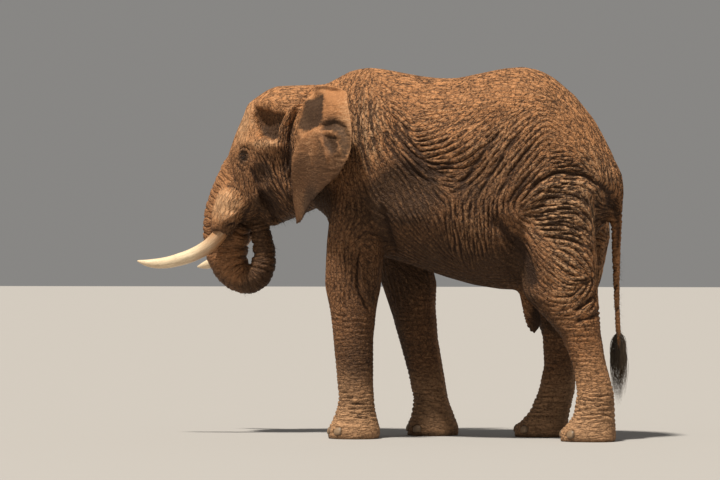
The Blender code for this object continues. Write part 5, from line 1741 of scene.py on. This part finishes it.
def strand_mesh(name, lines, radii, skin):
    """Many hairs as one mesh: `lines` is (hairs, steps, 3). Each hair's map is a patch at its root."""
    hairs, steps, _ = lines.shape
    way = np.gradient(lines, axis=1)
    way /= np.linalg.norm(way, axis=2)[..., None] + 1e-9
    side = np.cross(way, (0.31, 0.17, 0.94))
    side /= np.linalg.norm(side, axis=2)[..., None] + 1e-9
    other = np.cross(way, side)
    taper = np.interp(np.linspace(0, 1, steps), (0, 0.5, 1), (1, 0.85, 0.12))
    size = radii[:, None, None] * taper[None, :, None]
    rings = [lines + size * (math.cos(a) * side + math.sin(a) * other) for a in HAIR_ANGLES]
    points = np.stack(rings, axis=2).reshape(-1, 3)
    count = len(HAIR_ANGLES)
    base = (np.arange(hairs)[:, None] * steps + np.arange(steps - 1)[None]) * count
    faces = []
    for k in range(count):
        after = (k + 1) % count
        faces.append(np.stack([base + k, base + after, base + count + after, base + count + k], axis=2))
    quads = np.stack(faces, axis=2).reshape(-1, 4)
    first = np.arange(hairs) * steps * count
    last = first + (steps - 1) * count
    caps = [(i, i + 2, i + 1) for i in first] + [(i, i + 1, i + 2) for i in last]
    mesh = bpy.data.meshes.new(name)
    mesh.from_pydata(points.tolist(), [], quads.tolist() + caps)
    piece = bpy.data.objects.new(name, mesh)
    bpy.context.scene.collection.objects.link(piece)
    attribute(mesh, "along", np.tile(np.repeat(np.linspace(0, 1, steps), count), hairs))
    shades = np.random.default_rng(SEEDS["hair"]).random(hairs)
    attribute(mesh, "hair", np.repeat(shades, steps * count))
    map_strands(mesh, lines[:, 0], steps * count, skin)
    return piece


def map_strands(mesh, roots, per_hair, skin):
    """Gives every hair a small patch of the map, at its root's place on the skin's own unwrap."""
    tree = BVHTree.FromObject(skin, bpy.context.evaluated_depsgraph_get())
    map_of_skin = skin.data.uv_layers["OFBake"].data
    starts = []
    for root in roots:
        face = skin.data.polygons[tree.find_nearest(root)[2]]
        starts.append(np.mean([map_of_skin[loop].uv for loop in face.loop_indices], axis=0))
    corner = np.empty(len(mesh.loops), np.int32)
    mesh.loops.foreach_get("vertex_index", corner)
    index = corner % per_hair
    count = len(HAIR_ANGLES)
    spot = np.column_stack([(index % count) / (count - 1), (index // count) / (per_hair // count - 1)])
    places = np.array(starts)[corner // per_hair] + (spot - 0.5) * PATCH
    layer = mesh.uv_layers.new(name="OFBake")
    layer.data.foreach_set("uv", places.astype(np.float32).ravel())


def hair_material(name, colour, ends, dusty):
    """Hair whose ends are dusty, some hairs more than others."""
    material, nodes, shader = new_material(name, colour)
    mix = (nodes.attribute("along") * dusty + nodes.attribute("hair") * 0.5 - 0.2).clamped()
    feed(shader, Base_Color=nodes.mixed(mix, colour, ends), Roughness=0.5)
    return material


def grow_hair(name, lines, radii, finish, *nodes):
    """Finished hair on the skin; `finish` is its colour, the colour of its ends and how dusty they are."""
    hair = strand_mesh(name, lines, radii, bpy.data.objects["skin"])
    hair.data.materials.append(hair_material(name, *finish))
    finished(hair, "hair", *nodes)


class ELEPHANT_OT_tail_tuft(bpy.types.Operator):
    """Add the hair at the end of the tail"""

    bl_idname = "elephant.tail_tuft"
    bl_label = "Tail tuft"

    def execute(self, context):
        hair = context.scene.elephant_hair
        low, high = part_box("tail_tuft")
        random = np.random.default_rng(SEEDS["tuft"])
        count = hair.tuft_strands
        t = np.linspace(0, 1, 9)[None, :]
        behind = random.uniform(-1, 1, count)
        level = high.z + 0.06 - 0.16 * random.random(count) ** 1.3
        middle_y = np.interp(level, *TUFT_MIDDLE) + ORIGIN[1]
        around = random.normal(0, 0.5, count)
        reach = TUFT_ROOT * np.cos(around)
        root = np.column_stack([ORIGIN[0] + TUFT_ROOT * np.sin(around), middle_y + behind * reach, level])
        length = (level - low.z) * (0.35 + 0.65 * random.random(count))
        length *= 1 - 0.18 * np.abs(behind)
        spread = TUFT_SPREAD * behind
        sideways = random.normal(0, 0.011, count)
        wave = random.random(count)[:, None] * 6.3
        out = 1 - np.exp(-3.2 * t)
        back = 0.72 * t**1.6
        y = root[:, 1:2] + spread[:, None] * (out - back) + 0.012 * np.sin(wave + 4 * t) * t
        x = root[:, 0:1] + sideways[:, None] * out + 0.009 * np.cos(wave + 5 * t) * t
        z = root[:, 2:3] - length[:, None] * (t**1.08)
        lines = np.stack([x, y, z], axis=2)
        radii = hair.tuft_radius * (0.7 + 0.5 * random.random(count))
        grow_hair("tail_hair", lines, radii, (hair.colour, hair.ends, 0.8), "tail_tuft")
        return {"FINISHED"}


class ELEPHANT_OT_lashes(bpy.types.Operator):
    """Add the lashes along both lids of each eye"""

    bl_idname = "elephant.lashes"
    bl_label = "Lashes"

    def execute(self, context):
        hair = context.scene.elephant_hair
        random = np.random.default_rng(SEEDS["lashes"])
        lines = []
        for name, side in SIDES.items():
            centre, radius = eye_of(name)
            out, ahead = head_axes(side)
            for count, edge, droop, size in LASHES:
                turn = np.radians(np.linspace(-LASH_SWEEP, LASH_SWEEP, count) + random.normal(0, 1.5, count))
                rise = np.radians(edge * (1 - (np.degrees(turn) / LID_TURN) ** 2))
                c = np.cos(rise)
                way = out * (c * np.cos(turn))[:, None] + ahead * (c * np.sin(turn))[:, None]
                way[:, 2] += np.sin(rise)
                root = centre + way * radius * 1.09
                t = np.linspace(0, 1, 7)
                reach = size * (0.7 + 0.3 * random.random(count))
                bend = np.array((0, 0, -1)) * droop
                line = root[:, None] + way[:, None] * (reach[:, None] * t)[..., None]
                line = line + bend * (reach[:, None] * t**2)[..., None]
                line = line + ahead * (np.sin(turn) * reach * 0.3)[:, None, None] * t[None, :, None]
                lines.append(line)
        lines = np.concatenate(lines)
        grow_hair("lashes", lines, np.full(len(lines), LASH_RADIUS), (hair.lash, hair.lash, 0.0))
        return {"FINISHED"}


class ELEPHANT_OT_bristles(bpy.types.Operator):
    """Add sparse bristles on the crown, back, jaw, trunk and tail"""

    bl_idname = "elephant.bristles"
    bl_label = "Bristles"

    def execute(self, context):
        hair = context.scene.elephant_hair
        skin = bpy.data.objects["skin"]
        random = np.random.default_rng(SEEDS["bristles"])
        faces = len(skin.data.polygons)
        middles, ways, sizes = (np.empty(faces * k, np.float32) for k in (3, 3, 1))
        skin.data.polygons.foreach_get("center", middles)
        skin.data.polygons.foreach_get("normal", ways)
        skin.data.polygons.foreach_get("area", sizes)
        middles, ways = middles.reshape(-1, 3).astype(float), ways.reshape(-1, 3).astype(float)
        body, head = middles - ORIGIN, to_head(middles)
        wanted = 0.25 * smooth(ways[:, 2], 0.55, 0.9) * smooth(body[:, 2], 2.6, 2.9)
        for place, reach, share in BRISTLE_HEAD:
            wanted += share * bump(head, place, reach)
        from_tail = np.hypot(body[:, 0], body[:, 1] - 1.49)
        wanted += 2.5 * smooth(from_tail, 0.09, 0.05) * smooth(body[:, 2], 1.9, 1.2)
        chance = wanted * sizes
        chosen = random.choice(faces, hair.bristles, p=chance / chance.sum())
        way = ways[chosen]
        lie = np.array((0, 0.55, -0.85)) + random.normal(0, 0.25, (len(chosen), 3))
        t = np.linspace(0, 1, 4)
        reach = 0.012 + 0.026 * random.random(len(chosen))
        lines = middles[chosen][:, None] + way[:, None] * (reach[:, None] * t * (1 - 0.4 * t))[..., None]
        lines = lines + lie[:, None] * (reach[:, None] * (0.25 * t + 0.55 * t**2))[..., None]
        grow_hair("bristles", lines, np.full(len(lines), BRISTLE_RADIUS), (hair.lash, hair.colour, 0.3))
        return {"FINISHED"}


# ------------------------------------------------------------------ the stage
FLOOR_SIZE = 400
CAMERA_HEIGHT = 1.5
SENSOR_WIDTH = 36
FRAMING = (-0.125, 0.0347)  # the lens's shift to the side and up
AMBIENT = 0.30  # strength of the soft light from all round
LAMPS_LOOK_AT = Vector((0, 0, 1.5))
# Lamps: name, kind, place, size (an angle for the sun), strength and colour
LAMPS = (
    ("key", "SUN", (5.8, -2.2, 16.5), math.radians(5), 5.4, (1.0, 0.94, 0.84)),
    ("fill", "AREA", (16.0, -8.0, 5.0), 9.0, 160, (1.0, 0.97, 0.93)),
)


class ELEPHANT_OT_stage(bpy.types.Operator):
    """Add the floor, the soft lights and the camera"""

    bl_idname = "elephant.stage"
    bl_label = "Stage"

    def execute(self, context):
        stage = context.scene.elephant_stage
        bpy.ops.object.select_all(action="DESELECT")
        bpy.ops.mesh.primitive_plane_add(size=FLOOR_SIZE)
        floor = bpy.context.object
        floor.name = "floor"
        material, _, shader = new_material("floor", stage.floor)
        feed(shader, Base_Color=stage.floor, Roughness=0.9)
        floor.data.materials.append(material)

        world = bpy.data.worlds.new("surroundings")
        context.scene.world = world
        world.use_nodes = True
        light = world.node_tree.nodes["Background"]
        light.inputs["Color"].default_value = (*stage.sky, 1)
        light.inputs["Strength"].default_value = AMBIENT

        for name, kind, place, size, energy, colour in LAMPS:
            bpy.ops.object.light_add(type=kind, location=place)
            lamp = bpy.context.object
            lamp.name = name
            lamp.data.energy = energy
            lamp.data.color = colour
            if kind == "SUN":
                lamp.data.angle = size
            else:
                lamp.data.size = size
            lamp.rotation_euler = (LAMPS_LOOK_AT - Vector(place)).to_track_quat("-Z", "Y").to_euler()

        bpy.ops.object.camera_add()
        camera = bpy.context.object
        camera.data.lens = stage.lens
        camera.data.sensor_width = SENSOR_WIDTH
        camera.data.shift_x, camera.data.shift_y = FRAMING
        camera.data.clip_end = FLOOR_SIZE
        toward = Vector((math.sin(stage.azimuth), -math.cos(stage.azimuth), 0))
        camera.location = Vector(ORIGIN) + toward * stage.distance + Vector((0, 0, CAMERA_HEIGHT))
        camera.rotation_euler = (-toward).to_track_quat("-Z", "Y").to_euler()
        context.scene.camera = camera
        context.scene.view_settings.view_transform = "Standard"
        return {"FINISHED"}


# ------------------------------------------------------------------ panel and registration
OPERATORS = (
    ELEPHANT_OT_skin,
    ELEPHANT_OT_eyes,
    ELEPHANT_OT_tusks,
    ELEPHANT_OT_nails,
    ELEPHANT_OT_tail_tuft,
    ELEPHANT_OT_lashes,
    ELEPHANT_OT_bristles,
    ELEPHANT_OT_stage,
)


class ELEPHANT_PT_panel(bpy.types.Panel):
    bl_label = "African elephant"
    bl_idname = "ELEPHANT_PT_panel"
    bl_space_type = "VIEW_3D"
    bl_region_type = "UI"
    bl_category = "Elephant"

    def draw(self, context):
        for name in SETTINGS:
            settings = getattr(context.scene, name)
            for field in settings.bl_rna.properties:
                if field.identifier not in ("name", "rna_type"):
                    self.layout.prop(settings, field.identifier)
        for operator in OPERATORS:
            self.layout.operator(operator.bl_idname)


SETTINGS = {
    "elephant_skin": ElephantSkin,
    "elephant_eyes": ElephantEyes,
    "elephant_tusks": ElephantTusks,
    "elephant_nails": ElephantNails,
    "elephant_hair": ElephantHair,
    "elephant_stage": ElephantStage,
}


def register():
    for made in (*SETTINGS.values(), *OPERATORS, ELEPHANT_PT_panel):
        bpy.utils.register_class(made)
    for name, group in SETTINGS.items():
        setattr(bpy.types.Scene, name, bpy.props.PointerProperty(type=group))


def unregister():
    for name in SETTINGS:
        delattr(bpy.types.Scene, name)
    for made in (ELEPHANT_PT_panel, *OPERATORS[::-1], *SETTINGS.values()):
        bpy.utils.unregister_class(made)


def main():
    register()
    for operator in OPERATORS:
        getattr(bpy.ops.elephant, operator.bl_idname.split(".")[1])()


if __name__ == "__main__":
    main()
